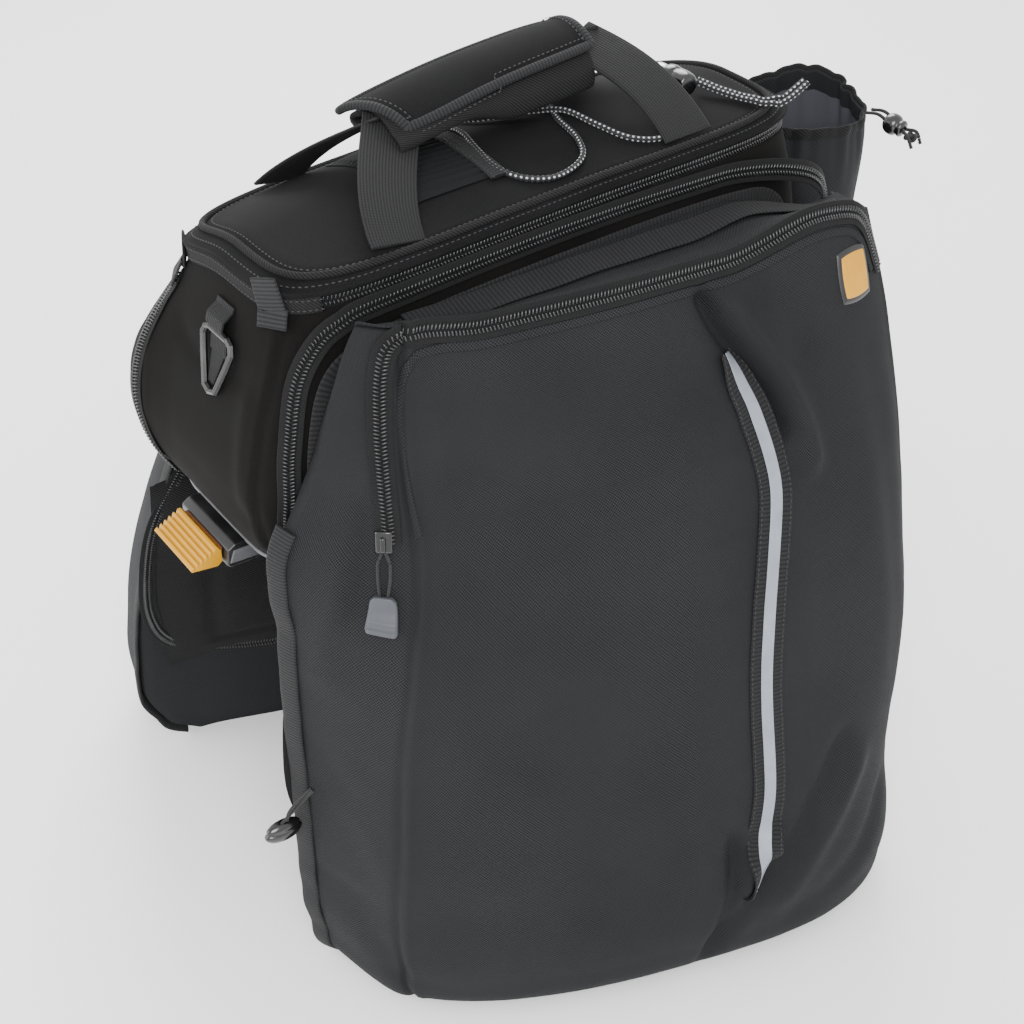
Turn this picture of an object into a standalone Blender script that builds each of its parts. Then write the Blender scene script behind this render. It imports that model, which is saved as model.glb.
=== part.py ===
"""Bicycle trunk bag with two fold-out side panniers, as separate solids.

The trunk's length runs along X, with the release tab at -X and the bottle sleeve at +X.
Heights of the trunk are counted from the underside of its tub, which stands DROP above
the surface that the panniers rest on.
"""
import math
from collections import namedtuple
from functools import partial

import bmesh
import bpy
import numpy as np
from mathutils import Matrix, Vector
from mathutils.bvhtree import BVHTree

# Clearances
GAP = 0.0003
LIFT = 0.0004
FACE_LIFT = 0.0016
SEAT_STEPS = 12
SEAT_EASE = 0.8
SEAT_SPACING = 0.0015

# Trunk
TRUNK_LENGTH = 0.374
TRUNK_WIDTH = 0.170
TRUNK_HEIGHT = 0.160
TRUNK_WALL = 0.004
RIM_SLOPE = 0.060
RIM_ARCH = 0.15

# Lid
LID_HEIGHT = 0.022
LID_WALL = 0.0035
ZIP_HEIGHT = 0.0075
ZIP_THICKNESS = 0.003
ZIP_INSET = 0.002
PIPING_DIAMETER = 0.0045

# Panniers
PANNIER_LENGTH = 0.380
PANNIER_DEPTH = 0.147
PANNIER_HEIGHT = 0.448
PANNIER_RISE = 0.154
DROP = PANNIER_HEIGHT - PANNIER_RISE
PANNIER_WALL = 0.002
PANNIER_BACK = 0.0869
PANNIER_BACK_DEPTH = 0.012
PANNIER_CORNER = 2.8
PANNIER_BACK_CORNER = 9.0
PANNIER_TOP_HEIGHT = 0.010
FAR_SAG = 0.030
FAR_LEAN = 0.048
LEAN_START = 0.68

# Bands, tapes and zips laid on the walls
CHAIN_WIDTH = 0.008
CHAIN_THICKNESS = 0.0018
TAPE_WIDTH = 0.016
TAPE_THICKNESS = 0.0015
STRIPE_TAPE_WIDTH = 0.021
STRIPE_WIDTH = 0.008
STRIPE_THICKNESS = 0.0006
PATCH_WIDTH = 0.028
PATCH_HEIGHT = 0.026
PATCH_THICKNESS = 0.0015
PATCH_PLACE = (0.80, 0.905)
COVER_THICKNESS = 0.006
COVER_LENGTH = 0.300
COVER_HEIGHT = 0.145
COVER_BOTTOM = 0.085

# Handle
WEBBING_WIDTH = 0.034
WEBBING_THICKNESS = 0.0022
HANDLE_SPAN = 0.190
HANDLE_SHIFT = -0.004
HANDLE_FOOT = 0.066
HANDLE_RISE = 0.041
GRIP_LENGTH = 0.138
GRIP_WALL = 0.003
GRIP_ARCH = 0.003

# Lacing, cords and their locks
BUNGEE_DIAMETER = 0.0034
CORD_DIAMETER = 0.0026
LOCK_DIAMETER = 0.0150
LOCK_LENGTH = 0.020
LOCK_BUTTON_DIAMETER = 0.0112
LOCK_BUTTON_LENGTH = 0.014
LOCK_BUTTON_SUNK = 0.004
LOCK_BUTTON_TRAVEL = 0.003

# Bottle sleeve
SLEEVE_RADIUS = 0.050
SLEEVE_HEIGHT = 0.150
SLEEVE_BOTTOM = 0.006
SLEEVE_WALL = 0.002

# Base, release and ring
PLATE_LENGTH = 0.336
PLATE_WIDTH = 0.118
PLATE_THICKNESS = 0.004
PLATE_SHIFT = -0.004
RAIL_LENGTH = 0.280
RAIL_WIDTH = 0.040
RAIL_HEIGHT = 0.009
HOUSING_LENGTH = 0.070
HOUSING_WIDTH = 0.058
HOUSING_HEIGHT = 0.015
HOUSING_FRONT = -0.195
TAB_LENGTH = 0.018
TAB_WIDTH = 0.048
TAB_PIN_DIAMETER = 0.004
RING_WIDTH = 0.032
RING_DEPTH = 0.034
RING_WIRE = 0.0042
RING_HEIGHT = 0.860
RING_SIDE = -0.015
RING_TAB_WIDTH = 0.018
RING_PLATE_THICKNESS = 0.0014

TrunkSection = namedtuple("TrunkSection", "height front rear side corner")
TRUNK_SECTIONS = [
    TrunkSection(0.00, 0.965, 0.94, 0.86, 6.0),
    TrunkSection(0.10, 1.015, 0.97, 0.93, 8.0),
    TrunkSection(0.28, 1.035, 0.99, 1.00, 9.0),
    TrunkSection(0.55, 1.000, 1.00, 1.00, 9.0),
    TrunkSection(0.80, 0.940, 0.99, 0.98, 7.5),
    TrunkSection(1.00, 0.895, 0.97, 0.95, 5.5),
]
TRUNK_LEVELS = (0.0, 0.05, 0.14, 0.32, 0.58, 0.82, 1.0)

# Lid sections: height is a share of LID_HEIGHT, outline a share of the tub's rim
LidSection = namedtuple("LidSection", "height outline")
LID_SECTIONS = [
    LidSection(0.00, 1.010),
    LidSection(0.20, 1.015),
    LidSection(0.44, 0.985),
    LidSection(0.58, 0.925),
    LidSection(0.70, 0.880),
    LidSection(0.86, 0.620),
    LidSection(1.00, 0.200),
]

# Pannier sections: depth is a share of PANNIER_DEPTH, skew makes the bag deeper to the rear
PannierSection = namedtuple("PannierSection", "height front rear depth skew")
PANNIER_SECTIONS = [
    PannierSection(0.000, 0.900, 0.880, 0.880, 0.34),
    PannierSection(0.030, 0.985, 0.950, 1.000, 0.36),
    PannierSection(0.080, 1.005, 0.980, 1.050, 0.36),
    PannierSection(0.200, 1.010, 0.990, 1.020, 0.34),
    PannierSection(0.400, 1.010, 1.000, 0.890, 0.31),
    PannierSection(0.600, 0.990, 1.005, 0.740, 0.30),
    PannierSection(0.720, 0.930, 1.005, 0.610, 0.36),
    PannierSection(0.860, 0.790, 1.000, 0.430, 0.48),
    PannierSection(1.000, 0.720, 0.960, 0.260, 0.62),
]
PANNIER_LEVELS = (0.0, 0.030, 0.09, 0.22, 0.42, 0.60, 0.70, 0.79, 0.87, 0.94, 1.0)

# The top gusset closes over the pannier's rim
DomeSection = namedtuple("DomeSection", "height scale")
PANNIER_TOP_SECTIONS = [
    DomeSection(0.00, 1.00),
    DomeSection(0.25, 1.00),
    DomeSection(0.75, 0.95),
    DomeSection(1.00, 0.80),
]

SleeveSection = namedtuple("SleeveSection", "height radius")
SLEEVE_SECTIONS = [
    SleeveSection(0.00, 0.80),
    SleeveSection(0.06, 0.92),
    SleeveSection(0.40, 0.97),
    SleeveSection(0.80, 1.00),
    SleeveSection(1.00, 0.96),
]

# Half of the grip's hollow section, from its left lower lip over the top: y and z from the webbing's top
GRIP_SECTION = [
    (-0.0200, -0.0236), (-0.0300, -0.0230), (-0.0356, -0.0185), (-0.0342, -0.0105), (-0.0228, 0.0000),
    (-0.0110, 0.0047), (0.0000, 0.0064),
]

# Routes on the walls: x is a share of half a length, z a share of a height
SIDE_ZIP_ROUTE = [
    (-0.920, 0.080), (-0.952, 0.240), (-0.948, 0.380), (-0.932, 0.540), (-0.885, 0.760), (-0.820, 0.885),
    (-0.740, 0.940), (-0.600, 0.962), (0.000, 0.962), (0.550, 0.955), (0.800, 0.925), (0.920, 0.830),
    (0.950, 0.660), (0.950, 0.400),
]
SIDE_TAPE_ROUTE = [
    (-0.800, 0.120), (-0.850, 0.350), (-0.840, 0.550), (-0.790, 0.740), (-0.700, 0.820), (-0.550, 0.845),
    (0.000, 0.850), (0.600, 0.840), (0.800, 0.780), (0.850, 0.600), (0.850, 0.350),
]
FACE_ZIP_ROUTE = [
    (-0.775, 0.755), (-0.762, 0.785), (-0.745, 0.840), (-0.735, 0.875), (-0.715, 0.925), (-0.680, 0.957),
    (-0.600, 0.971), (-0.450, 0.976), (0.000, 0.976), (0.500, 0.976), (0.750, 0.973), (0.880, 0.952),
    (0.935, 0.900),
]
STRIPE_ROUTE = [
    (0.298, 0.895), (0.330, 0.842), (0.360, 0.800), (0.378, 0.719), (0.340, 0.645), (0.300, 0.574),
    (0.260, 0.464), (0.238, 0.312), (0.203, 0.237), (0.165, 0.140),
]
COVER_ROUTE = [
    (-0.45, 1.00), (-0.47, 0.60), (-0.46, 0.25), (-0.41, 0.06), (-0.30, 0.00), (0.30, 0.00),
    (0.41, 0.06), (0.46, 0.25), (0.47, 0.60), (0.45, 1.00),
]

# Lacing over the lid: x, y and height above the lid's top, in metres
LACING_ROUTE = [
    (0.006, -0.064, 0.0), (-0.009, -0.056, 0.0), (-0.014, -0.040, 0.0), (-0.009, -0.012, 0.0),
    (-0.004, 0.022, 0.0), (0.004, 0.050, 0.0), (0.014, 0.050, 0.0), (0.024, 0.028, 0.0),
    (0.045, 0.008, 0.0), (0.054, -0.012, 0.0), (0.060, -0.034, 0.0), (0.066, -0.056, 0.0),
]
CROSSING_ROUTE = [
    (0.024, -0.064, 0.0), (0.034, -0.056, 0.0), (0.044, -0.040, 0.001), (0.050, -0.014, 0.0042),
    (0.054, 0.004, 0.0042), (0.066, 0.028, 0.0), (0.078, 0.046, 0.0), (0.092, 0.036, 0.0),
    (0.100, 0.014, 0.0), (0.104, -0.012, 0.002), (0.1085, -0.020, 0.0045),
]
TAIL_ROUTE = [
    (0.1345, -0.0225, 0.0045), (0.142, -0.024, 0.002), (0.152, -0.030, 0.001), (0.162, -0.042, 0.003),
    (0.174, -0.052, 0.008), (0.188, -0.054, 0.016),
]
TAIL_SPREAD = 0.0042
LOCK_PLACE = (0.1215, -0.0210)

# Short cords: where they start, in metres from the middle of their lock
LOOSE_PIECES = ("cover_cord", "cover_lock", "sleeve_cord", "sleeve_lock")
SLEEVE_LOCK_PLACE = (0.034, -0.066, -0.006)
SLEEVE_CORD_ANGLE = -57.0
COVER_LOCK_PLACE = (-0.210, -0.0945, 0.132)
COVER_CORD_RISE = 0.026
PULL_CORD_LENGTH = 0.030
PULL_SLANT = 0.30
PULL_TAB_SIZE = (0.017, 0.0045, 0.024)
SLIDER_SIZE = (0.009, 0.004, 0.012)
SLIDER_BEVEL = 0.0012
PULL_SIZE = (0.014, 0.004, 0.011)
COVER_LOCK_SIZE = (0.026, 0.010, 0.014)
SLEEVE_LOCK_DIAMETER = 0.015

CLOTH = (0.020, 0.021, 0.023)
KNIT = (0.028, 0.028, 0.030)
RUBBER = (0.110, 0.118, 0.135)
PLASTIC = (0.016, 0.016, 0.017)
YELLOW = (0.900, 0.560, 0.020)
SILVER = (0.620, 0.660, 0.700)
LINING = (0.200, 0.205, 0.220)


def clear_scene():
    """Empty the scene, so that only the bag is in it."""
    for item in list(bpy.data.objects):
        bpy.data.objects.remove(item, do_unlink=True)


def make_collection(name):
    """Collection of the given name in the scene."""
    group = bpy.data.collections.new(name)
    bpy.context.scene.collection.children.link(group)
    return group


def material(name, colour, roughness, metallic=0.0):
    """Principled material, made once for each name."""
    found = bpy.data.materials.get(name)
    if found:
        return found
    made = bpy.data.materials.new(name)
    made.use_nodes = True
    shader = made.node_tree.nodes["Principled BSDF"]
    shader.inputs["Base Color"].default_value = (*colour, 1.0)
    shader.inputs["Roughness"].default_value = roughness
    shader.inputs["Metallic"].default_value = metallic
    return made


def cloth():
    return material("cloth", CLOTH, 0.85)


def knit():
    return material("knit_tape", KNIT, 0.90)


def plastic():
    return material("plastic", PLASTIC, 0.45)


def keep(item, surface, group, base):
    """Give an object its material, collection and parent."""
    item.data.materials.clear()
    item.data.materials.append(surface)
    for owner in list(item.users_collection):
        owner.objects.unlink(item)
    group.objects.link(item)
    item.parent = base
    return item


def mesh_object(name, points, faces):
    """Object from points and faces, smooth shaded."""
    mesh = bpy.data.meshes.new(name)
    mesh.from_pydata([tuple(point) for point in points], [], faces)
    mesh.update()
    item = bpy.data.objects.new(name, mesh)
    bpy.context.scene.collection.objects.link(item)
    mesh.shade_smooth()
    return item


def grid_faces(rows, columns, closed):
    """Quads of a grid, joined round when it is closed."""
    reach = columns if closed else columns - 1
    faces = []
    for row in range(rows - 1):
        for column in range(reach):
            after = (column + 1) % columns
            faces.append((row * columns + column, row * columns + after,
                          (row + 1) * columns + after, (row + 1) * columns + column))
    return faces


def face_out(item):
    """Turn the faces of a closed mesh outward."""
    volume = bmesh.new()
    volume.from_mesh(item.data)
    bmesh.ops.recalc_face_normals(volume, faces=volume.faces)
    volume.to_mesh(item.data)
    volume.free()


def thicken(item, thickness, side):
    """Solidify an open surface; side is -1 inward or 1 outward of its normals."""
    wall = item.modifiers.new("wall", "SOLIDIFY")
    wall.thickness = thickness
    wall.offset = side
    wall.use_even_offset = True
    return item


def shell(name, loops, thickness, close_first=False, close_last=False):
    """Hollow wall through loops of points, bottom to top, with its thickness inward."""
    rows, columns = loops.shape[:2]
    faces = grid_faces(rows, columns, True)
    if close_first:
        faces.append(tuple(reversed(range(columns))))
    if close_last:
        faces.append(tuple(range((rows - 1) * columns, rows * columns)))
    item = mesh_object(name, loops.reshape(-1, 3), faces)
    return thicken(item, thickness, -1.0)


def column(sections, name, share):
    """Cubic through one column of a table of sections, read at shares of height."""
    knots = np.array([section.height for section in sections])
    values = np.array([getattr(section, name) for section in sections])
    slopes = np.gradient(values, knots)
    share = np.clip(np.asarray(share, dtype=float), 0.0, 1.0)
    low = np.clip(np.searchsorted(knots, share, side="right") - 1, 0, len(knots) - 2)
    span = knots[low + 1] - knots[low]
    t = (share - knots[low]) / span
    start = (2 * t ** 3 - 3 * t ** 2 + 1) * values[low] + (t ** 3 - 2 * t ** 2 + t) * span * slopes[low]
    end = (3 * t ** 2 - 2 * t ** 3) * values[low + 1] + (t ** 3 - t ** 2) * span * slopes[low + 1]
    return start + end


def unit_loop(count, outer_power, inner_power, aspect):
    """Loop x = cos^(2/p), y = sin^(2/p) of unit half sizes, spaced evenly along its length."""
    angle = np.linspace(0.0, 2.0 * math.pi, 4001)
    power = np.where(np.sin(angle) >= 0.0, outer_power, inner_power)
    x = np.sign(np.cos(angle)) * np.abs(np.cos(angle)) ** (2.0 / power)
    y = np.sign(np.sin(angle)) * np.abs(np.sin(angle)) ** (2.0 / power)
    run = np.concatenate([[0.0], np.cumsum(np.hypot(np.diff(x) * aspect, np.diff(y)))])
    at = np.linspace(0.0, run[-1], count, endpoint=False)
    return np.interp(at, run, x), np.interp(at, run, y)


def smooth_route(route, count):
    """Evenly spaced points on a Catmull-Rom curve through the given ones."""
    knots = np.array(route, dtype=float)
    padded = np.vstack([2 * knots[0] - knots[1], knots, 2 * knots[-1] - knots[-2]])
    t = np.linspace(0.0, 1.0, 24, endpoint=False)[:, None]
    pieces = []
    for p0, p1, p2, p3 in zip(padded, padded[1:], padded[2:], padded[3:]):
        pieces.append(0.5 * (2 * p1 + (p2 - p0) * t + (2 * p0 - 5 * p1 + 4 * p2 - p3) * t ** 2
                             + (3 * p1 - p0 - 3 * p2 + p3) * t ** 3))
    curve = np.vstack(pieces + [knots[-1:]])
    run = np.concatenate([[0.0], np.cumsum(np.linalg.norm(np.diff(curve, axis=0), axis=1))])
    at = np.linspace(0.0, run[-1], count)
    return np.stack([np.interp(at, run, curve[:, axis]) for axis in range(curve.shape[1])], axis=1)


def top_line(x):
    """How far the rim rises above its middle height along the trunk."""
    return RIM_SLOPE * x - RIM_ARCH * x ** 2


def trunk_reach(share, x):
    """Half length of the trunk on the side of x, at a share of its height."""
    front = column(TRUNK_SECTIONS, "front", share)
    rear = column(TRUNK_SECTIONS, "rear", share)
    return np.where(x < 0.0, front, rear) * TRUNK_LENGTH / 2


def trunk_loop(share, count, inset=0.0):
    """Plan outline of the trunk at a share of its height."""
    corner = float(column(TRUNK_SECTIONS, "corner", share))
    x_unit, y_unit = unit_loop(count, corner, corner, TRUNK_LENGTH / TRUNK_WIDTH)
    x = x_unit * (trunk_reach(share, x_unit) - inset)
    y = y_unit * (column(TRUNK_SECTIONS, "side", share) * TRUNK_WIDTH / 2 - inset)
    z = share * (TRUNK_HEIGHT + top_line(x))
    return np.stack([x, y, DROP + z], axis=1)


def trunk_side(x, height, side):
    """Point of the trunk's side wall at x and a share of its height."""
    half = trunk_reach(height, x)
    width = column(TRUNK_SECTIONS, "side", height) * TRUNK_WIDTH / 2
    corner = column(TRUNK_SECTIONS, "corner", height)
    y = side * width * np.clip(1.0 - np.abs(x / half) ** corner, 0.0, 1.0) ** (1.0 / corner)
    return np.stack([x, y, DROP + height * (TRUNK_HEIGHT + top_line(x))], axis=-1)


def trunk_front(y, height):
    """Point of the trunk's end wall at y and a share of its height, on the -X side."""
    half = column(TRUNK_SECTIONS, "front", height) * TRUNK_LENGTH / 2
    side = column(TRUNK_SECTIONS, "side", height) * TRUNK_WIDTH / 2
    corner = column(TRUNK_SECTIONS, "corner", height)
    x = -half * np.clip(1.0 - np.abs(y / side) ** corner, 0.0, 1.0) ** (1.0 / corner)
    return np.stack([x, y, DROP + height * (TRUNK_HEIGHT + top_line(x))], axis=-1)


def lid_base():
    """Height of the lid's lower edge above the tub's rim."""
    return ZIP_HEIGHT + 2 * GAP


def lid_loop(section, count):
    """Plan outline of the lid at one of its sections."""
    rim = trunk_loop(1.0, count)
    x = rim[:, 0] * section.outline
    y = rim[:, 1] * section.outline
    z = TRUNK_HEIGHT + top_line(x) + lid_base() + section.height * LID_HEIGHT
    return np.stack([x, y, DROP + z], axis=1)


def lid_top(x, y):
    """Point of the lid's crown above x and y."""
    half = trunk_reach(1.0, x)
    side = column(TRUNK_SECTIONS, "side", 1.0) * TRUNK_WIDTH / 2
    corner = TRUNK_SECTIONS[-1].corner
    ratio = (np.abs(x / half) ** corner + np.abs(y / side) ** corner) ** (1.0 / corner)
    outlines = [section.outline for section in reversed(LID_SECTIONS[3:])]
    heights = [section.height for section in reversed(LID_SECTIONS[3:])]
    z = TRUNK_HEIGHT + top_line(x) + lid_base() + np.interp(ratio, outlines, heights) * LID_HEIGHT
    return np.stack([x, y, DROP + z], axis=-1)


def pannier_reach(height, x):
    """Half length of the pannier on the side of x, at a share of its height."""
    front = column(PANNIER_SECTIONS, "front", height)
    rear = column(PANNIER_SECTIONS, "rear", height)
    return np.where(x < 0.0, front, rear) * PANNIER_LENGTH / 2


def pannier_level(height, side):
    """Height above the floor at a share of the pannier's height; the far one's top sags."""
    ease = np.clip((height - 0.6) / 0.4, 0.0, 1.0) ** 2
    return height * PANNIER_HEIGHT - (FAR_SAG * ease if side > 0 else 0.0)


def pannier_lean(height, side):
    """How far a pannier hangs outward at a share of its height; only the far one does."""
    ease = np.clip((LEAN_START - height) / LEAN_START, 0.0, 1.0)
    return FAR_LEAN * ease if side > 0 else 0.0 * ease


def pannier_loop(height, count, side):
    """Plan outline of a pannier at a share of its height, as if it hung on the +Y side."""
    x_unit, y_unit = unit_loop(count, PANNIER_CORNER, PANNIER_BACK_CORNER,
                               PANNIER_LENGTH / PANNIER_DEPTH)
    outward = column(PANNIER_SECTIONS, "depth", height) * PANNIER_DEPTH - PANNIER_BACK_DEPTH
    skew = 1.0 + column(PANNIER_SECTIONS, "skew", height) * x_unit
    x = x_unit * pannier_reach(height, x_unit)
    waist = PANNIER_BACK + PANNIER_BACK_DEPTH + pannier_lean(height, side)
    y = waist + np.where(y_unit >= 0.0, y_unit * outward * skew, y_unit * PANNIER_BACK_DEPTH)
    z = np.full(count, pannier_level(height, side))
    return np.stack([x, y, z], axis=1)


def pannier_face(x, height, side):
    """Point of a pannier's outer face at x and a share of its height."""
    across = x / pannier_reach(height, x)
    outward = column(PANNIER_SECTIONS, "depth", height) * PANNIER_DEPTH - PANNIER_BACK_DEPTH
    hollow = np.clip(1.0 - np.abs(across) ** PANNIER_CORNER, 0.0, 1.0) ** (1.0 / PANNIER_CORNER)
    skew = 1.0 + column(PANNIER_SECTIONS, "skew", height) * across
    y = PANNIER_BACK + PANNIER_BACK_DEPTH + pannier_lean(height, side) + outward * skew * hollow
    return np.stack([x, side * y, pannier_level(height, side)], axis=-1)


def pannier_wheel_side(x, height, side):
    """Point of a pannier's wheel side at x and a share of its height."""
    across = np.clip(np.abs(x / pannier_reach(height, x)), 0.0, 1.0)
    hollow = (1.0 - across ** PANNIER_BACK_CORNER) ** (1.0 / PANNIER_BACK_CORNER)
    y = PANNIER_BACK + pannier_lean(height, side) + PANNIER_BACK_DEPTH * (1.0 - hollow)
    return np.stack([x, side * y, pannier_level(height, side)], axis=-1)


def surface_normals(place, a, b, step_a, step_b):
    """Unit normals of a placed surface, by central differences."""
    along = place(a + step_a, b) - place(a - step_a, b)
    across = place(a, b + step_b) - place(a, b - step_b)
    normal = np.cross(along, across)
    return normal / np.linalg.norm(normal, axis=-1, keepdims=True)


def laid_sheet(name, place, a, b, thickness, outward, lift=LIFT, b_scale=1.0):
    """Closed sheet over a grid of surface coordinates, lifted clear of the wall."""
    normal = surface_normals(place, a, b, 1e-4, 1e-4 / b_scale)
    turn = np.sign(np.sum(normal * np.array(outward), axis=-1, keepdims=True))
    normal = normal * np.where(turn == 0.0, 1.0, turn)
    points = place(a, b) + normal * lift
    rows, columns = points.shape[:2]
    item = mesh_object(name, points.reshape(-1, 3), grid_faces(rows, columns, False))
    facing = sum((polygon.normal for polygon in item.data.polygons), Vector())
    if facing.dot(Vector(outward)) < 0.0:
        item.data.flip_normals()
    return thicken(item, thickness, 1.0)


def laid_band(name, place, route, width, thickness, outward, count, scale, lanes=1, lift=LIFT):
    """Band of the given width along a route on a wall.

    The route's points are shares of scale, which is the half length and the height of the wall.
    """
    path = smooth_route(np.array(route) * np.array(scale), count)
    tangent = np.gradient(path, axis=0)
    tangent /= np.linalg.norm(tangent, axis=1, keepdims=True)
    across = np.stack([-tangent[:, 1], tangent[:, 0]], axis=1)
    offsets = np.linspace(-0.5, 0.5, lanes + 1) * width
    plane = path[:, None, :] + across[:, None, :] * offsets[None, :, None]
    return laid_sheet(name, place, plane[..., 0], plane[..., 1] / scale[1], thickness, outward,
                      lift, scale[1])


def side_name(side):
    return "far" if side > 0 else "near"


def tube(name, points, diameter, sides=2, cyclic=False):
    """Round cord or wire through its points."""
    curve = bpy.data.curves.new(name, "CURVE")
    curve.dimensions = "3D"
    curve.bevel_depth = diameter / 2
    curve.bevel_resolution = sides
    curve.use_fill_caps = not cyclic
    spline = curve.splines.new("POLY")
    spline.points.add(len(points) - 1)
    for target, point in zip(spline.points, points):
        target.co = (*point, 1.0)
    spline.use_cyclic_u = cyclic
    item = bpy.data.objects.new(name, curve)
    bpy.context.scene.collection.objects.link(item)
    return item


def box(name, size, centre, bevel=0.0, segments=1):
    """Box of the given size with rounded edges."""
    bpy.ops.mesh.primitive_cube_add(size=1.0)
    item = bpy.context.active_object
    item.name = name
    item.data.transform(Matrix.Diagonal((*size, 1.0)))
    item.location = centre
    if bevel > 0.0:
        edge = item.modifiers.new("edge", "BEVEL")
        edge.width = bevel
        edge.segments = segments
    return item


def cylinder(name, diameter, length, centre, turn=(0.0, 0.0, 0.0), sides=12, bevel=0.0):
    """Cylinder along its own Z, turned and placed."""
    bpy.ops.mesh.primitive_cylinder_add(radius=diameter / 2, depth=length, vertices=sides)
    item = bpy.context.active_object
    item.name = name
    item.location = centre
    item.rotation_euler = turn
    if bevel > 0.0:
        edge = item.modifiers.new("edge", "BEVEL")
        edge.width = bevel
        edge.segments = 1
        edge.limit_method = "ANGLE"
    return item


def combine(item, other, operation, cutters):
    """Join or cut one object with another, which is kept as a guide."""
    step = item.modifiers.new(operation.lower(), "BOOLEAN")
    step.operation = operation
    step.object = other
    step.solver = "EXACT"
    for owner in list(other.users_collection):
        owner.objects.unlink(other)
    cutters.objects.link(other)
    other.hide_render = True
    other.display_type = "WIRE"
    other.parent = item.parent
    return item


def prism(name, profile, width):
    """Closed solid from a profile in X and Z, drawn out along Y."""
    points = [(a, y, b) for y in (-width / 2, width / 2) for a, b in profile]
    count = len(profile)
    faces = grid_faces(2, count, True)
    faces.append(tuple(reversed(range(count))))
    faces.append(tuple(range(count, 2 * count)))
    item = mesh_object(name, points, faces)
    face_out(item)
    item.data.shade_flat()
    return item


def solid_of(item):
    """Search tree of a finished piece and points along its edges, in world space."""
    graph = bpy.context.evaluated_depsgraph_get()
    seen = item.evaluated_get(graph)
    mesh = seen.to_mesh()
    corners = [seen.matrix_world @ vertex.co for vertex in mesh.vertices]
    tree = BVHTree.FromPolygons(corners, [tuple(polygon.vertices) for polygon in mesh.polygons])
    points = []
    for edge in mesh.edges:
        start, end = corners[edge.vertices[0]], corners[edge.vertices[1]]
        count = int((end - start).length / SEAT_SPACING) + 2
        points += [start.lerp(end, float(share)) for share in np.linspace(0.0, 1.0, count)]
    seen.to_mesh_clear()
    return tree, points


def seat(items, carrier, way):
    """Move pieces together along way until the first lies just clear of what carries it."""
    bpy.context.view_layer.update()
    way = Vector(way).normalized()
    own, own_points = solid_of(items[0])
    tree, points = solid_of(carrier)
    reach = 0.02
    low = Vector(min(point[axis] for point in own_points) - reach for axis in range(3))
    high = Vector(max(point[axis] for point in own_points) + reach for axis in range(3))
    points = [point for point in points
              if all(low[axis] <= point[axis] <= high[axis] for axis in range(3))]
    moved = 0.0
    for _ in range(SEAT_STEPS):
        clear = min(tree.find_nearest(point + way * moved)[3] for point in own_points)
        clear = min([clear] + [own.find_nearest(point - way * moved)[3] for point in points])
        moved += SEAT_EASE * (clear - 1.5 * GAP)
    for item in items:
        item.location += way * moved


def build_trunk(group, base):
    """Hollow padded tub with its open rim."""
    loops = np.array([trunk_loop(share, 28) for share in TRUNK_LEVELS])
    return keep(shell("trunk_tub", loops, TRUNK_WALL, close_first=True), cloth(), group, base)


def rim_ring(name, first, last, trim, group, base):
    """Stretch of the ring between the tub's rim and the lid, from one of its 40 steps to another."""
    outer = trunk_loop(1.0, 40, ZIP_INSET)
    inner = trunk_loop(1.0, 40, ZIP_INSET + ZIP_THICKNESS)
    steps = np.arange(first, last + 1) % 40
    low = np.stack([outer[steps], inner[steps]], axis=1)
    low[0] += (low[1] - low[0]) * trim
    low[-1] += (low[-2] - low[-1]) * trim
    low[..., 2] = DROP + TRUNK_HEIGHT + top_line(low[..., 0]) + GAP
    high = low + np.array([0.0, 0.0, ZIP_HEIGHT])
    ring = np.stack([low[:, 0], low[:, 1], high[:, 1], high[:, 0]], axis=1)
    rows = len(steps)
    faces = grid_faces(rows, 4, True)
    faces.append(tuple(reversed(range(4))))
    faces.append(tuple(range((rows - 1) * 4, rows * 4)))
    item = mesh_object(name, ring.reshape(-1, 3), faces)
    face_out(item)
    return keep(item, knit(), group, base)


def build_lid(group, base, tub):
    """Crowned lid with its piping, zip, hinge and zip stops."""
    loops = np.array([lid_loop(section, 28) for section in LID_SECTIONS])
    lid = keep(shell("trunk_lid", loops, LID_WALL, close_last=True), cloth(), group, base)

    shoulder = LID_SECTIONS[3]
    edge = lid_loop(shoulder, 32)
    centre = edge.mean(axis=0)
    away = edge - centre
    away[:, 2] = 0.0
    away /= np.linalg.norm(away, axis=1, keepdims=True)
    lean = PIPING_DIAMETER / 2 + 3 * GAP
    points = edge + away * lean * 0.62 + np.array([0.0, 0.0, lean * 0.90])
    piping = tube("lid_piping", points, PIPING_DIAMETER, sides=1, cyclic=True)
    keep(piping, cloth(), group, base)
    seat([piping], lid, (0.0, 0.0, -1.0))

    rim_ring("lid_zip", -16, 16, 0.0, group, base)
    rim_ring("lid_hinge", 16, 24, 0.05, group, base)
    for side in (-1, 1):
        y = side * np.linspace(0.044, 0.062, 3)
        height = np.linspace(0.84, 0.985, 4)
        grid_y, grid_h = np.meshgrid(y, height, indexing="ij")
        stop = laid_sheet("zip_stop_" + side_name(side), trunk_front, grid_y, grid_h,
                          TAPE_THICKNESS, (-1.0, 0.0, 0.0), b_scale=TRUNK_HEIGHT)
        keep(stop, knit(), group, base)
        seat([stop], tub, (1.0, 0.0, 0.0))
    return lid


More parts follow.
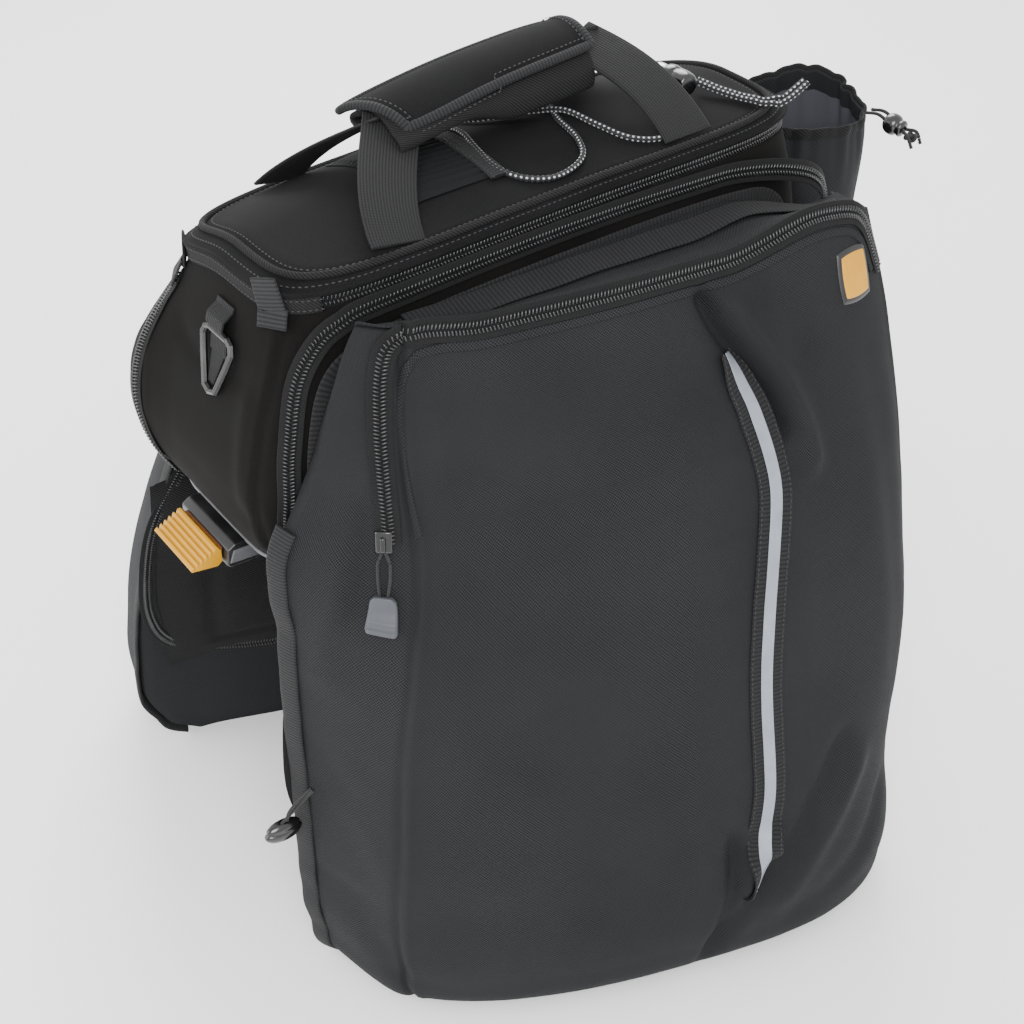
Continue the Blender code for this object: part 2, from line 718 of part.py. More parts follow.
def build_side(side, group, base, tub):
    """Zip arch and ribbed tape of one stow pocket, on the trunk's side."""
    wall = partial(trunk_side, side=side)
    scale = (TRUNK_LENGTH / 2, TRUNK_HEIGHT)
    outward = (0.0, side, 0.0)
    arch = laid_band("side_zip_" + side_name(side), wall, SIDE_ZIP_ROUTE, CHAIN_WIDTH,
                     CHAIN_THICKNESS, outward, 40, scale)
    keep(arch, knit(), group, base)
    seat([arch], tub, (0.0, -side, 0.0))
    tape = laid_band("side_tape_" + side_name(side), wall, SIDE_TAPE_ROUTE, TAPE_WIDTH,
                     TAPE_THICKNESS, outward, 30, scale)
    keep(tape, knit(), group, base)
    seat([tape], tub, (0.0, -side, 0.0))


def mirror_loops(loops, side):
    """Loops of one pannier on the near (-1) or far (1) side, still running the same way round."""
    if side > 0:
        return loops
    return (loops * np.array([1.0, -1.0, 1.0]))[:, ::-1]


def build_pannier(side, group, base):
    """Hollow pannier with its top gusset and the pieces on its face."""
    end = side_name(side)
    outward = (0.0, side, 0.0)
    loops = np.array([pannier_loop(share, 24, side) for share in PANNIER_LEVELS])
    body = shell("pannier_" + end, mirror_loops(loops, side), PANNIER_WALL, close_first=True)
    keep(body, cloth(), group, base)

    rim = pannier_loop(1.0, 24, side)
    middle = rim.mean(axis=0)
    dome = []
    for section in PANNIER_TOP_SECTIONS:
        loop = middle + (rim - middle) * section.scale
        loop[:, 2] = rim[:, 2] + GAP + section.height * PANNIER_TOP_HEIGHT
        dome.append(loop)
    top = shell("pannier_top_" + end, mirror_loops(np.array(dome), side), PANNIER_WALL, close_last=True)
    keep(top, cloth(), group, base)

    face = partial(pannier_face, side=side)
    scale = (PANNIER_LENGTH / 2, PANNIER_HEIGHT)
    chain = laid_band("pannier_zip_" + end, face, FACE_ZIP_ROUTE, CHAIN_WIDTH, CHAIN_THICKNESS,
                      outward, 38, scale, lift=FACE_LIFT)
    keep(chain, knit(), group, base)
    inward = (0.0, -side, 0.0)
    seat([chain], body, inward)
    tape = laid_band("stripe_tape_" + end, face, STRIPE_ROUTE, STRIPE_TAPE_WIDTH, TAPE_THICKNESS,
                     outward, 20, scale, lift=FACE_LIFT)
    keep(tape, knit(), group, base)
    seat([tape], body, inward)
    stripe = laid_band("reflective_stripe_" + end, face, STRIPE_ROUTE, STRIPE_WIDTH,
                       STRIPE_THICKNESS, outward, 20, scale, lift=FACE_LIFT + TAPE_THICKNESS + GAP)
    keep(stripe, material("reflector", SILVER, 0.35), group, base)
    seat([stripe], tape, inward)

    x = PATCH_PLACE[0] * PANNIER_LENGTH / 2 + np.linspace(-0.5, 0.5, 3) * PATCH_WIDTH
    height = PATCH_PLACE[1] + np.linspace(-0.5, 0.5, 3) * PATCH_HEIGHT / PANNIER_HEIGHT
    grid_x, grid_h = np.meshgrid(x, height, indexing="ij")
    patch = laid_sheet("patch_" + end, face, grid_x, grid_h, PATCH_THICKNESS, outward, lift=FACE_LIFT,
                       b_scale=PANNIER_HEIGHT)
    keep(patch, material("patch", YELLOW, 0.55), group, base)
    seat([patch], body, inward)

    build_pull(side, face, group, base, body)
    build_cover(side, group, base, body)
    return body


def wall_frame(place, x, height, outward):
    """Point, outward normal and upward tangent of a wall."""
    at = np.array(float(x))
    up_at = np.array(float(height))
    point = Vector(place(at, up_at))
    normal = Vector(surface_normals(place, at, up_at, 1e-4, 1e-4))
    if normal.dot(Vector(outward)) < 0.0:
        normal = -normal
    level = normal.cross(Vector((0.0, 0.0, 1.0))).normalized()
    return point, normal, level.cross(normal).normalized()


def wall_turn(normal, up):
    """Rotation that puts local -Y along a wall's normal and local Z up the wall."""
    across = (-normal).cross(up)
    return Matrix((across, -normal, up)).transposed().to_euler()


def build_pull(side, face, group, base, body):
    """Zip slider, cord loop and rubber tab that hang at the start of the face zip."""
    end = side_name(side)
    outward = (0.0, side, 0.0)
    x = FACE_ZIP_ROUTE[0][0] * PANNIER_LENGTH / 2
    top = FACE_ZIP_ROUTE[0][1] - 5 * GAP / PANNIER_HEIGHT

    def below(drop):
        return wall_frame(face, x - PULL_SLANT * drop, top - drop / PANNIER_HEIGHT, outward)

    point, normal, up = below(SLIDER_SIZE[2] / 2)
    slider = box("pannier_slider_" + end, SLIDER_SIZE, point + normal * (SLIDER_SIZE[1] / 2 + FACE_LIFT),
                 SLIDER_BEVEL)
    slider.rotation_euler = wall_turn(normal, up)
    keep(slider, plastic(), group, base)
    inward = (0.0, -side, 0.0)
    seat([slider], body, inward)

    start = SLIDER_SIZE[2] + 2 * GAP
    points = []
    for drop in np.linspace(start, start + PULL_CORD_LENGTH, 7):
        point, normal, up = below(drop)
        points.append(point + normal * (CORD_DIAMETER / 2 + FACE_LIFT))
    cord = keep(tube("pull_cord_" + end, points, CORD_DIAMETER), cloth(), group, base)
    seat([cord], body, inward)

    point, normal, up = below(start + PULL_CORD_LENGTH + PULL_TAB_SIZE[2] / 2 + 2 * GAP)
    tab = box("pull_tab_" + end, PULL_TAB_SIZE, point + normal * (PULL_TAB_SIZE[1] / 2 + FACE_LIFT),
              SLIDER_BEVEL)
    tab.rotation_euler = wall_turn(normal, up)
    keep(tab, material("rubber", RUBBER, 0.60), group, base)
    seat([tab], body, inward)


def build_cover(side, group, base, body):
    """Padded stow cover on the wheel side, with its lining and zip."""
    end = side_name(side)
    wall = partial(pannier_wheel_side, side=side)
    inward = (0.0, -side, 0.0)
    height = (COVER_BOTTOM + np.linspace(0.0, 1.0, 3) * COVER_HEIGHT) / PANNIER_HEIGHT
    lining_x = np.linspace(-0.46, 0.46, 7) * COVER_LENGTH
    grid_x, grid_h = np.meshgrid(lining_x, height, indexing="ij")
    lining = laid_sheet("cover_lining_" + end, wall, grid_x, grid_h, TAPE_THICKNESS, inward,
                        b_scale=PANNIER_HEIGHT)
    keep(lining, material("lining", LINING, 0.80), group, base)
    outward = (0.0, side, 0.0)
    seat([lining], body, outward)
    cover_lift = LIFT + TAPE_THICKNESS + GAP
    cover_x = np.linspace(-0.5, 0.5, 7) * COVER_LENGTH
    grid_x, grid_h = np.meshgrid(cover_x, height, indexing="ij")
    cover = laid_sheet("cover_panel_" + end, wall, grid_x, grid_h, COVER_THICKNESS, inward,
                       lift=cover_lift, b_scale=PANNIER_HEIGHT)
    keep(cover, cloth(), group, base)
    seat([cover], lining, outward)
    edge = CHAIN_WIDTH / 2 + GAP
    route = [(share_x * COVER_LENGTH, (COVER_BOTTOM + edge + share_z * (COVER_HEIGHT - 2 * edge)) / PANNIER_HEIGHT)
             for share_x, share_z in COVER_ROUTE]
    chain = laid_band("cover_zip_" + end, wall, route, CHAIN_WIDTH, CHAIN_THICKNESS, inward, 26,
                      (1.0, PANNIER_HEIGHT), lift=cover_lift + COVER_THICKNESS + GAP)
    keep(chain, knit(), group, base)
    seat([chain], cover, outward)


def handle_outline():
    """Inverted U of flat webbing, in the plane of one handle half."""
    half = HANDLE_SPAN / 2
    rise = math.hypot(HANDLE_FOOT, HANDLE_RISE)
    outer = half + WEBBING_WIDTH / 2
    inner = half - WEBBING_WIDTH / 2
    corner = WEBBING_WIDTH * 0.95
    steps = [math.radians(angle) for angle in (90, 60, 30, 0)]
    points = [(-outer, 0.0)]
    points += [(-outer + corner - corner * math.sin(a), rise - corner + corner * math.cos(a)) for a in steps]
    points += [(outer - corner + corner * math.sin(a), rise - corner + corner * math.cos(a))
               for a in reversed(steps)]
    points += [(outer, 0.0), (inner, 0.0), (inner, rise - WEBBING_WIDTH), (-inner, rise - WEBBING_WIDTH),
               (-inner, 0.0)]
    return points


def build_handle(group, base, lid):
    """Two slanting webbing loops and the hollow wrap that holds them together."""
    slant = math.atan2(HANDLE_RISE, HANDLE_FOOT)
    feet = np.array([-HANDLE_SPAN / 2, HANDLE_SPAN / 2]) + HANDLE_SHIFT
    foot_z = lid_top(feet, np.full(2, HANDLE_FOOT))[:, 2]
    tilt = math.atan2(float(foot_z[1] - foot_z[0]), HANDLE_SPAN)
    stand = float(foot_z.mean()) + WEBBING_THICKNESS / 2 + 2 * LIFT
    for side in (-1, 1):
        name = "handle_" + side_name(side)
        curve = bpy.data.curves.new(name, "CURVE")
        curve.dimensions = "2D"
        curve.fill_mode = "BOTH"
        curve.extrude = WEBBING_THICKNESS / 2
        spline = curve.splines.new("POLY")
        outline = handle_outline()
        spline.points.add(len(outline) - 1)
        for target, point in zip(spline.points, outline):
            target.co = (point[0], point[1], 0.0, 1.0)
        spline.use_cyclic_u = True
        item = bpy.data.objects.new(name, curve)
        bpy.context.scene.collection.objects.link(item)
        item.rotation_euler = (slant, side * tilt, 0.0 if side < 0 else math.pi)
        item.location = (HANDLE_SHIFT, side * (HANDLE_FOOT + WEBBING_THICKNESS + GAP), stand)
        keep(item, knit(), group, base)
        seat([item], lid, (0.0, 0.0, -1.0))

    top = stand + HANDLE_RISE
    half = np.array(GRIP_SECTION)
    ring = np.vstack([half, half[::-1][1:] * np.array([-1.0, 1.0])])
    x = np.linspace(-0.5, 0.5, 7) * GRIP_LENGTH
    arch = GRIP_ARCH * (1.0 - (x / (GRIP_LENGTH / 2)) ** 2) + math.tan(tilt) * x
    loops = np.zeros((len(x), len(ring), 3))
    loops[..., 0] = x[:, None] + HANDLE_SHIFT
    loops[..., 1] = ring[None, :, 0]
    loops[..., 2] = top + ring[None, :, 1] + arch[:, None]
    item = mesh_object("grip_wrap", loops.reshape(-1, 3), grid_faces(len(x), len(ring), False))
    crown = max(item.data.polygons, key=lambda polygon: polygon.center.z)
    if crown.normal.z < 0.0:
        item.data.flip_normals()
    keep(thicken(item, GRIP_WALL, 1.0), cloth(), group, base)


def lid_cord(name, route, diameter, count, group, base, shift=0.0):
    """Elastic cord that lies on the lid along a route, shifted sideways in plan."""
    points = smooth_route(route, count)
    tangent = np.gradient(points[:, :2], axis=0)
    tangent /= np.linalg.norm(tangent, axis=1, keepdims=True)
    x = points[:, 0] - tangent[:, 1] * shift
    y = points[:, 1] + tangent[:, 0] * shift
    ground = lid_top(x, y)
    ground[:, 2] += points[:, 2] + diameter / 2 + 3 * LIFT
    return keep(tube(name, ground, diameter), cloth(), group, base)


def build_lid_fittings(group, base, cutters, lid):
    """Gathered pocket, its binding, the lacing and the barrel lock."""
    x = np.linspace(-0.072, -0.030, 4)
    y = np.linspace(-0.046, 0.046, 6)
    grid_x, grid_y = np.meshgrid(x, y, indexing="ij")
    pocket = laid_sheet("stretch_pocket", lid_top, grid_x, grid_y, 0.003, (0.0, 0.0, 1.0), lift=2 * LIFT)
    keep(pocket, cloth(), group, base)
    down = (0.0, 0.0, -1.0)
    seat([pocket], lid, down)
    x = np.array([-0.0285, -0.0185])
    grid_x, grid_y = np.meshgrid(x, np.linspace(-0.052, 0.052, 7), indexing="ij")
    binding = laid_sheet("pocket_binding", lid_top, grid_x, grid_y, 0.0025, (0.0, 0.0, 1.0), lift=2 * LIFT)
    keep(binding, knit(), group, base)
    seat([binding], lid, down)

    lacing = lid_cord("bungee_cord", LACING_ROUTE, BUNGEE_DIAMETER, 28, group, base)
    seat([lacing], lid, down)
    crossing = lid_cord("bungee_cross", CROSSING_ROUTE, BUNGEE_DIAMETER, 24, group, base)
    seat([crossing], lid, down)
    for number, shift in enumerate((-TAIL_SPREAD / 2, TAIL_SPREAD / 2)):
        lid_cord("bungee_tail_" + str(number + 1), TAIL_ROUTE, BUNGEE_DIAMETER, 10, group, base, shift)

    ground = lid_top(np.array(LOCK_PLACE[0]), np.array(LOCK_PLACE[1]))
    height = float(ground[2]) + LOCK_DIAMETER / 2 + 2 * LIFT
    lie = (math.pi / 2, 0.0, 0.0)
    barrel = cylinder("bungee_lock", LOCK_DIAMETER, LOCK_LENGTH, (LOCK_PLACE[0], LOCK_PLACE[1], height), lie,
                      bevel=0.002)
    socket_depth = LOCK_BUTTON_SUNK + LOCK_BUTTON_TRAVEL + GAP
    mouth = LOCK_PLACE[1] + LOCK_LENGTH / 2
    socket = cylinder("lock_socket", LOCK_BUTTON_DIAMETER + 2 * GAP, 2 * socket_depth,
                      (LOCK_PLACE[0], mouth, height), lie)
    keep(barrel, plastic(), group, base)
    combine(barrel, socket, "DIFFERENCE", cutters)
    button_y = mouth + LOCK_BUTTON_LENGTH / 2 - LOCK_BUTTON_SUNK
    button = cylinder("bungee_lock_button", LOCK_BUTTON_DIAMETER, LOCK_BUTTON_LENGTH,
                      (LOCK_PLACE[0], button_y, height), lie, bevel=0.0015)
    keep(button, material("button", SILVER, 0.30, 0.6), group, base)


def sleeve_centre():
    """Plan position of the bottle sleeve, just clear of the trunk's rear wall."""
    return TRUNK_LENGTH / 2 + SLEEVE_RADIUS + 2 * GAP


def build_sleeve(group, base, tub):
    """Round open sleeve for a bottle, with its drawcord and ball lock."""
    count = 22
    angle = np.linspace(0.0, 2.0 * math.pi, count, endpoint=False)
    loops = []
    for section in SLEEVE_SECTIONS:
        radius = SLEEVE_RADIUS * section.radius
        z = np.full(count, DROP + SLEEVE_BOTTOM + section.height * SLEEVE_HEIGHT)
        loops.append(np.stack([sleeve_centre() + radius * np.cos(angle), radius * np.sin(angle), z], axis=1))
    sleeve = shell("bottle_sleeve", np.array(loops), SLEEVE_WALL, close_first=True)
    keep(sleeve, cloth(), group, base)
    seat([sleeve], tub, (-1.0, 0.0, 0.0))

    top = DROP + SLEEVE_BOTTOM + SLEEVE_HEIGHT
    lock_at = Vector((sleeve_centre(), 0.0, top)) + Vector(SLEEVE_LOCK_PLACE)
    bpy.ops.mesh.primitive_uv_sphere_add(segments=10, ring_count=6, radius=SLEEVE_LOCK_DIAMETER / 2)
    ball = bpy.context.active_object
    ball.name = "sleeve_lock"
    ball.location = lock_at
    ball.data.shade_smooth()
    keep(ball, plastic(), group, base)
    turn = math.radians(SLEEVE_CORD_ANGLE)
    reach = SLEEVE_RADIUS + CORD_DIAMETER / 2 + 2 * LIFT
    start = Vector((sleeve_centre() + reach * math.cos(turn), reach * math.sin(turn), top - CORD_DIAMETER))
    way = (start - lock_at).normalized()
    way_out = Vector((math.cos(turn), math.sin(turn), 0.0))
    stop = lock_at + way * (SLEEVE_LOCK_DIAMETER / 2 + GAP)
    middle = (start + stop) / 2 + Vector((0.0, 0.0, CORD_DIAMETER))
    cord = keep(tube("sleeve_cord", smooth_route([start, middle, stop], 7), CORD_DIAMETER), cloth(), group, base)
    seat([cord, ball], sleeve, -way_out)


def build_cover_cord(group, base, body):
    """Short cord and oval lock at the near pannier's end."""
    at = Vector(COVER_LOCK_PLACE)
    bpy.ops.mesh.primitive_uv_sphere_add(segments=10, ring_count=6, radius=0.5)
    lock = bpy.context.active_object
    lock.name = "cover_lock"
    lock.data.transform(Matrix.Diagonal((*COVER_LOCK_SIZE, 1.0)))
    lock.location = at
    lock.data.shade_smooth()
    keep(lock, plastic(), group, base)
    low = at + Vector((0.0, 0.0, COVER_LOCK_SIZE[2] / 2 + 2 * GAP))
    share = (low.z + COVER_CORD_RISE) / PANNIER_HEIGHT
    reach = float(pannier_reach(share, -1.0))
    high = Vector((-reach - CORD_DIAMETER / 2 - 2 * LIFT, at.y - PANNIER_BACK_DEPTH, low.z + COVER_CORD_RISE))
    middle = (low + high) / 2 + Vector((-CORD_DIAMETER, 0.0, 0.0))
    cord = keep(tube("cover_cord", smooth_route([low, middle, high], 8), CORD_DIAMETER), cloth(), group, base)
    seat([cord, lock], body, (1.0, 0.0, 0.0))


def build_ring(group, base, tub):
    """Triangular ring that hangs on a webbing loop of the end wall and rests against it."""
    point, normal, up = wall_frame(trunk_front, RING_SIDE, RING_HEIGHT, (-1.0, 0.0, 0.0))
    stand = RING_WIRE / 2 + RING_PLATE_THICKNESS + 5 * LIFT
    axis = point + normal * stand
    lean = math.atan2(normal.z, -normal.x)
    half = RING_WIDTH / 2
    outline = [(half - 0.006, 0.0), (half - 0.0018, -0.0018), (half, -0.006),
               (half * 0.80, -RING_DEPTH * 0.45), (0.006, -RING_DEPTH + 0.002), (0.0, -RING_DEPTH)]
    full = outline + [(-a, b) for a, b in reversed(outline[:-1])]
    ring = tube("front_ring", [(0.0, a, b) for a, b in full], RING_WIRE, sides=2, cyclic=True)
    ring.location = axis
    ring.rotation_euler = (0.0, lean, 0.0)
    keep(ring, plastic(), group, base)

    inner = RING_WIRE / 2 + 2 * GAP
    outer = inner + RING_PLATE_THICKNESS
    angles = np.radians(np.linspace(-90.0, 90.0, 6))
    bight_in = np.stack([-inner * np.cos(angles), inner * np.sin(angles)], axis=1)
    bight_out = np.stack([-outer * np.cos(angles), outer * np.sin(angles)], axis=1)
    section = [tuple(place) for place in bight_in]
    section += [(inner, inner), (inner, -inner - 0.012), (outer, -inner - 0.012), (outer, outer)]
    section += [tuple(place) for place in bight_out[::-1]]
    tab = prism("ring_tab", section, RING_TAB_WIDTH)
    tab.location = axis
    tab.rotation_euler = (0.0, lean, 0.0)
    keep(tab, knit(), group, base)
    seat([tab, ring], tub, (1.0, 0.0, 0.0))


def build_base(group, base, cutters):
    """Plate and rail under the trunk, release housing and the hinged yellow tab."""
    plate_z = DROP - GAP - PLATE_THICKNESS / 2
    plate = box("base_plate", (PLATE_LENGTH, PLATE_WIDTH, PLATE_THICKNESS), (PLATE_SHIFT, 0.0, plate_z))
    rail_z = DROP - GAP - PLATE_THICKNESS - RAIL_HEIGHT / 2 + 0.001
    rail_x = PLATE_SHIFT + (PLATE_LENGTH - RAIL_LENGTH) / 2 - 0.004
    rail = box("rail", (RAIL_LENGTH - HOUSING_LENGTH, RAIL_WIDTH, RAIL_HEIGHT + 0.002),
               (rail_x + HOUSING_LENGTH / 2, 0.0, rail_z))
    keep(plate, plastic(), group, base)
    combine(plate, rail, "UNION", cutters)
    housing_rear = HOUSING_FRONT + HOUSING_LENGTH
    room = box("housing_room", (HOUSING_LENGTH, HOUSING_WIDTH + 2 * GAP, 4 * PLATE_THICKNESS),
               (HOUSING_FRONT + HOUSING_LENGTH / 2 + GAP, 0.0, plate_z))
    combine(plate, room, "DIFFERENCE", cutters)

    housing_z = DROP - GAP - HOUSING_HEIGHT / 2
    housing = box("release_housing", (housing_rear - HOUSING_FRONT - GAP, HOUSING_WIDTH, HOUSING_HEIGHT),
                  ((housing_rear + HOUSING_FRONT - GAP) / 2, 0.0, housing_z), 0.0015)
    keep(housing, plastic(), group, base)

    hinge = Vector((HOUSING_FRONT - TAB_PIN_DIAMETER / 2 - GAP, 0.0, DROP - GAP - HOUSING_HEIGHT + 0.004))
    profile = [(0.0010, 0.0017), (0.0018, 0.0), (0.0010, -0.0017), (-0.002, -0.0035),
               (-TAB_LENGTH + 0.001, 0.000), (-TAB_LENGTH, 0.0022), (-TAB_LENGTH + 0.003, 0.0045),
               (-0.0045, 0.0090), (-0.0025, 0.0085)]
    tab = prism("release_tab", profile, TAB_WIDTH)
    tab.location = hinge
    keep(tab, material("yellow_plastic", YELLOW, 0.45), group, base)


def build_side_zip_pull(group, base, tub):
    """Grey rubber pull at the end of the far stow pocket's zip."""
    point, normal, up = wall_frame(partial(trunk_side, side=1), -0.90 * TRUNK_LENGTH / 2, 0.03, (0.0, 1.0, 0.0))
    out = (normal + Vector((-1.0, 0.0, 0.0))).normalized()
    pull = box("side_zip_pull", PULL_SIZE, point + normal * (LIFT + CHAIN_THICKNESS) + out * PULL_SIZE[0] / 2,
               SLIDER_BEVEL)
    pull.rotation_euler = (0.0, 0.0, math.atan2(out.y, out.x))
    keep(pull, material("rubber", RUBBER, 0.60), group, base)
    seat([pull], tub, -out)


def stand_on_origin(group, base):
    """Move the whole bag so that the origin lies under the middle of its box, less its loose cords."""
    bpy.context.view_layer.update()
    graph = bpy.context.evaluated_depsgraph_get()
    corners = []
    for item in group.objects:
        if item.type == "EMPTY" or item.name in LOOSE_PIECES:
            continue
        seen = item.evaluated_get(graph)
        mesh = seen.to_mesh()
        corners += [seen.matrix_world @ vertex.co for vertex in mesh.vertices]
        seen.to_mesh_clear()
    low = Vector(min(corner[axis] for corner in corners) for axis in range(3))
    high = Vector(max(corner[axis] for corner in corners) for axis in range(3))
    base.location = (-(low.x + high.x) / 2, -(low.y + high.y) / 2, -low.z)


def main():
    clear_scene()
    group = make_collection("trunk_bag")
    cutters = make_collection("cutters")
    base = bpy.data.objects.new("bag_base", None)
    group.objects.link(base)
    tub = build_trunk(group, base)
    lid = build_lid(group, base, tub)
    build_lid_fittings(group, base, cutters, lid)
    build_handle(group, base, lid)
    build_sleeve(group, base, tub)
    build_ring(group, base, tub)
    build_base(group, base, cutters)
    build_side_zip_pull(group, base, tub)
    bodies = []
    for side in (-1, 1):
        build_side(side, group, base, tub)
        bodies.append(build_pannier(side, group, base))
    build_cover_cord(group, base, bodies[0])
    stand_on_origin(group, base)


main()
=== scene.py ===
"""Dressed model of a bicycle trunk bag whose two panniers are folded out.

The trunk's own frame has x along the bag from its middle, y across it, z up from the tub's underside.
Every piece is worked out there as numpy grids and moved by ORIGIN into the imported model's frame.
"""

from __future__ import annotations

import logging
import math
from dataclasses import dataclass, field
from enum import Enum
from typing import Callable, NamedTuple, Sequence

import bpy
import numpy as np
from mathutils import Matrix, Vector


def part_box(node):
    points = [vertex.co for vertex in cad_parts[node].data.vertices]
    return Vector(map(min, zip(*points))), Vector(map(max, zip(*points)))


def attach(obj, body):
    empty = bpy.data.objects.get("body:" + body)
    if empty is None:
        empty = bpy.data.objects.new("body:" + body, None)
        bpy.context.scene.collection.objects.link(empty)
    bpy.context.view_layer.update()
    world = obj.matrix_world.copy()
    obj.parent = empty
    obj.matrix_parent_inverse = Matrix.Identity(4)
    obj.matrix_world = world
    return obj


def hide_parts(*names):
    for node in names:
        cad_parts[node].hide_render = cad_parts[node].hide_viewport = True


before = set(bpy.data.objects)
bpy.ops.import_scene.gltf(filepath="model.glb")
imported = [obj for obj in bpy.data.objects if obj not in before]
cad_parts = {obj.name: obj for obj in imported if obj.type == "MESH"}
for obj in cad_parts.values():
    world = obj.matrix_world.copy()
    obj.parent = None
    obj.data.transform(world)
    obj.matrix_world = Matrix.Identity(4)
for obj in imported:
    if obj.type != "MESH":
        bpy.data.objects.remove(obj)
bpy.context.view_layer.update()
LOG = logging.getLogger("trunk_bag")

Array = np.ndarray
Surface = Callable[[Array, Array], Array]

ORIGIN = np.array([-0.03568, -0.02082, 0.294])
BODY = "bag"
UP = np.array([0.0, 0.0, 1.0])
FRONT = np.array([-1.0, 0.0, 0.0])
ACROSS = np.array([0.0, 1.0, 0.0])
LEVEL = np.array([1.0, 1.0, 0.0])


class Side(Enum):
    """The near pannier hangs on -Y, the far one on +Y."""

    NEAR = -1
    FAR = 1

    @property
    def word(self) -> str:
        """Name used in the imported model's nodes."""
        return self.name.lower()


# Tables: rows are heights as shares, values are shares of the half sizes they scale

TRUNK_TABLE = {
    "height": (0.00, 0.10, 0.28, 0.55, 0.80, 1.00),
    "front": (0.965, 1.015, 1.035, 1.000, 0.940, 0.895),
    "rear": (0.94, 0.97, 0.99, 1.00, 0.99, 0.97),
    "side": (0.86, 0.93, 1.00, 1.00, 0.98, 0.95),
    "corner": (6.0, 8.0, 9.0, 9.0, 7.5, 5.5),
}
PANNIER_TABLE = {
    "height": (0.000, 0.030, 0.080, 0.200, 0.400, 0.600, 0.720, 0.860, 1.000),
    "front": (0.900, 0.985, 1.005, 1.010, 1.010, 0.990, 0.930, 0.790, 0.720),
    "rear": (0.880, 0.950, 0.980, 0.990, 1.000, 1.005, 1.005, 1.000, 0.960),
    "depth": (0.950, 1.040, 1.070, 1.020, 0.890, 0.740, 0.610, 0.430, 0.260),
    "skew": (0.34, 0.36, 0.36, 0.34, 0.31, 0.30, 0.36, 0.48, 0.62),
}


def column(table: dict[str, tuple[float, ...]], name: str, share: Array | float) -> Array:
    """Read one column of a table by a cubic through its rows.

    Args:
        table: Columns by name; "height" holds the rows' shares.
        name: Column to read.
        share: Heights, 0 to 1.

    Returns:
        The column's value at each height.
    """
    knots = np.array(table["height"])
    values = np.array(table[name])
    slopes = np.gradient(values, knots)
    share = np.clip(np.asarray(share, dtype=float), 0.0, 1.0)
    low = np.clip(np.searchsorted(knots, share, side="right") - 1, 0, len(knots) - 2)
    span = knots[low + 1] - knots[low]
    t = (share - knots[low]) / span
    start = (2 * t**3 - 3 * t**2 + 1) * values[low] + (t**3 - 2 * t**2 + t) * span * slopes[low]
    end = (3 * t**2 - 2 * t**3) * values[low + 1] + (t**3 - t**2) * span * slopes[low + 1]
    return start + end


def running(points: Array) -> Array:
    """Distance run along a row of points, from 0 at the first."""
    return np.concatenate([[0.0], np.cumsum(np.linalg.norm(np.diff(points, axis=0), axis=1))])


def path_length(points: Array) -> float:
    """Whole length of a row of points."""
    return float(np.linalg.norm(np.diff(points, axis=0), axis=1).sum())


def catmull(p0: Array, p1: Array, p2: Array, p3: Array, t: Array) -> Array:
    """Catmull-Rom cubic from p1 at t = 0 to p2 at t = 1."""
    return 0.5 * (2 * p1 + (p2 - p0) * t + (2 * p0 - 5 * p1 + 4 * p2 - p3) * t**2
                  + (3 * p1 - p0 - 3 * p2 + p3) * t**3)


def smooth_route(route: Sequence[Sequence[float]], count: int, closed: bool = False) -> Array:
    """Evenly spaced points on a Catmull-Rom curve through the given ones.

    Args:
        route: Points of any dimension.
        count: Number of points wanted.
        closed: Whether the curve returns to its first point.

    Returns:
        Array of count points.
    """
    knots = np.array(route, dtype=float)
    if closed:
        padded = np.vstack([knots[-1:], knots, knots[:2]])
    else:
        padded = np.vstack([2 * knots[0] - knots[1], knots, 2 * knots[-1] - knots[-2]])
    t = np.linspace(0.0, 1.0, 24, endpoint=False)[:, None]
    pieces = [catmull(*four, t) for four in zip(padded, padded[1:], padded[2:], padded[3:])]
    curve = np.vstack(pieces + [padded[-2:-1]])
    run = running(curve)
    at = np.linspace(0.0, run[-1], count, endpoint=not closed)
    return np.stack([np.interp(at, run, curve[:, axis]) for axis in range(curve.shape[1])], axis=1)


def unit(vectors: Array) -> Array:
    """Vectors scaled to length one along the last axis."""
    return vectors / np.maximum(np.linalg.norm(vectors, axis=-1, keepdims=True), 1e-12)


def signed_power(wave: Array, power: float) -> Array:
    """Power of the size of a wave, its sign kept: a superellipse's coordinate from a cosine or sine."""
    return np.sign(wave) * np.abs(wave) ** power


def bump(distance: Array, width: float) -> Array:
    """Bell curve exp(-(d / w)^2)."""
    return np.exp(-((distance / width) ** 2))


def ease(value: Array, low: float, high: float) -> Array:
    """Smooth step from 0 at low to 1 at high: 3t^2 - 2t^3."""
    t = np.clip((value - low) / (high - low), 0.0, 1.0)
    return t * t * (3.0 - 2.0 * t)


def ripple(a: Array, b: Array, seed: int, waves: int = 7, low: float = 20.0, high: float = 90.0) -> Array:
    """Sum of plane sine waves with seeded directions, as slack cloth shows.

    Args:
        a: First surface coordinate in metres.
        b: Second surface coordinate in metres.
        seed: Seed of the directions and phases.
        waves: Number of waves.
        low: Lowest wave number, in radians per metre.
        high: Highest wave number.

    Returns:
        Height between about -1 and 1.
    """
    pick = np.random.default_rng(seed)
    total = np.zeros_like(a)
    for _ in range(waves):
        number = pick.uniform(low, high)
        turn = pick.uniform(0.0, math.pi)
        total += np.sin(number * (a * math.cos(turn) + b * math.sin(turn)) + pick.uniform(0.0, 6.28))
    return total / waves


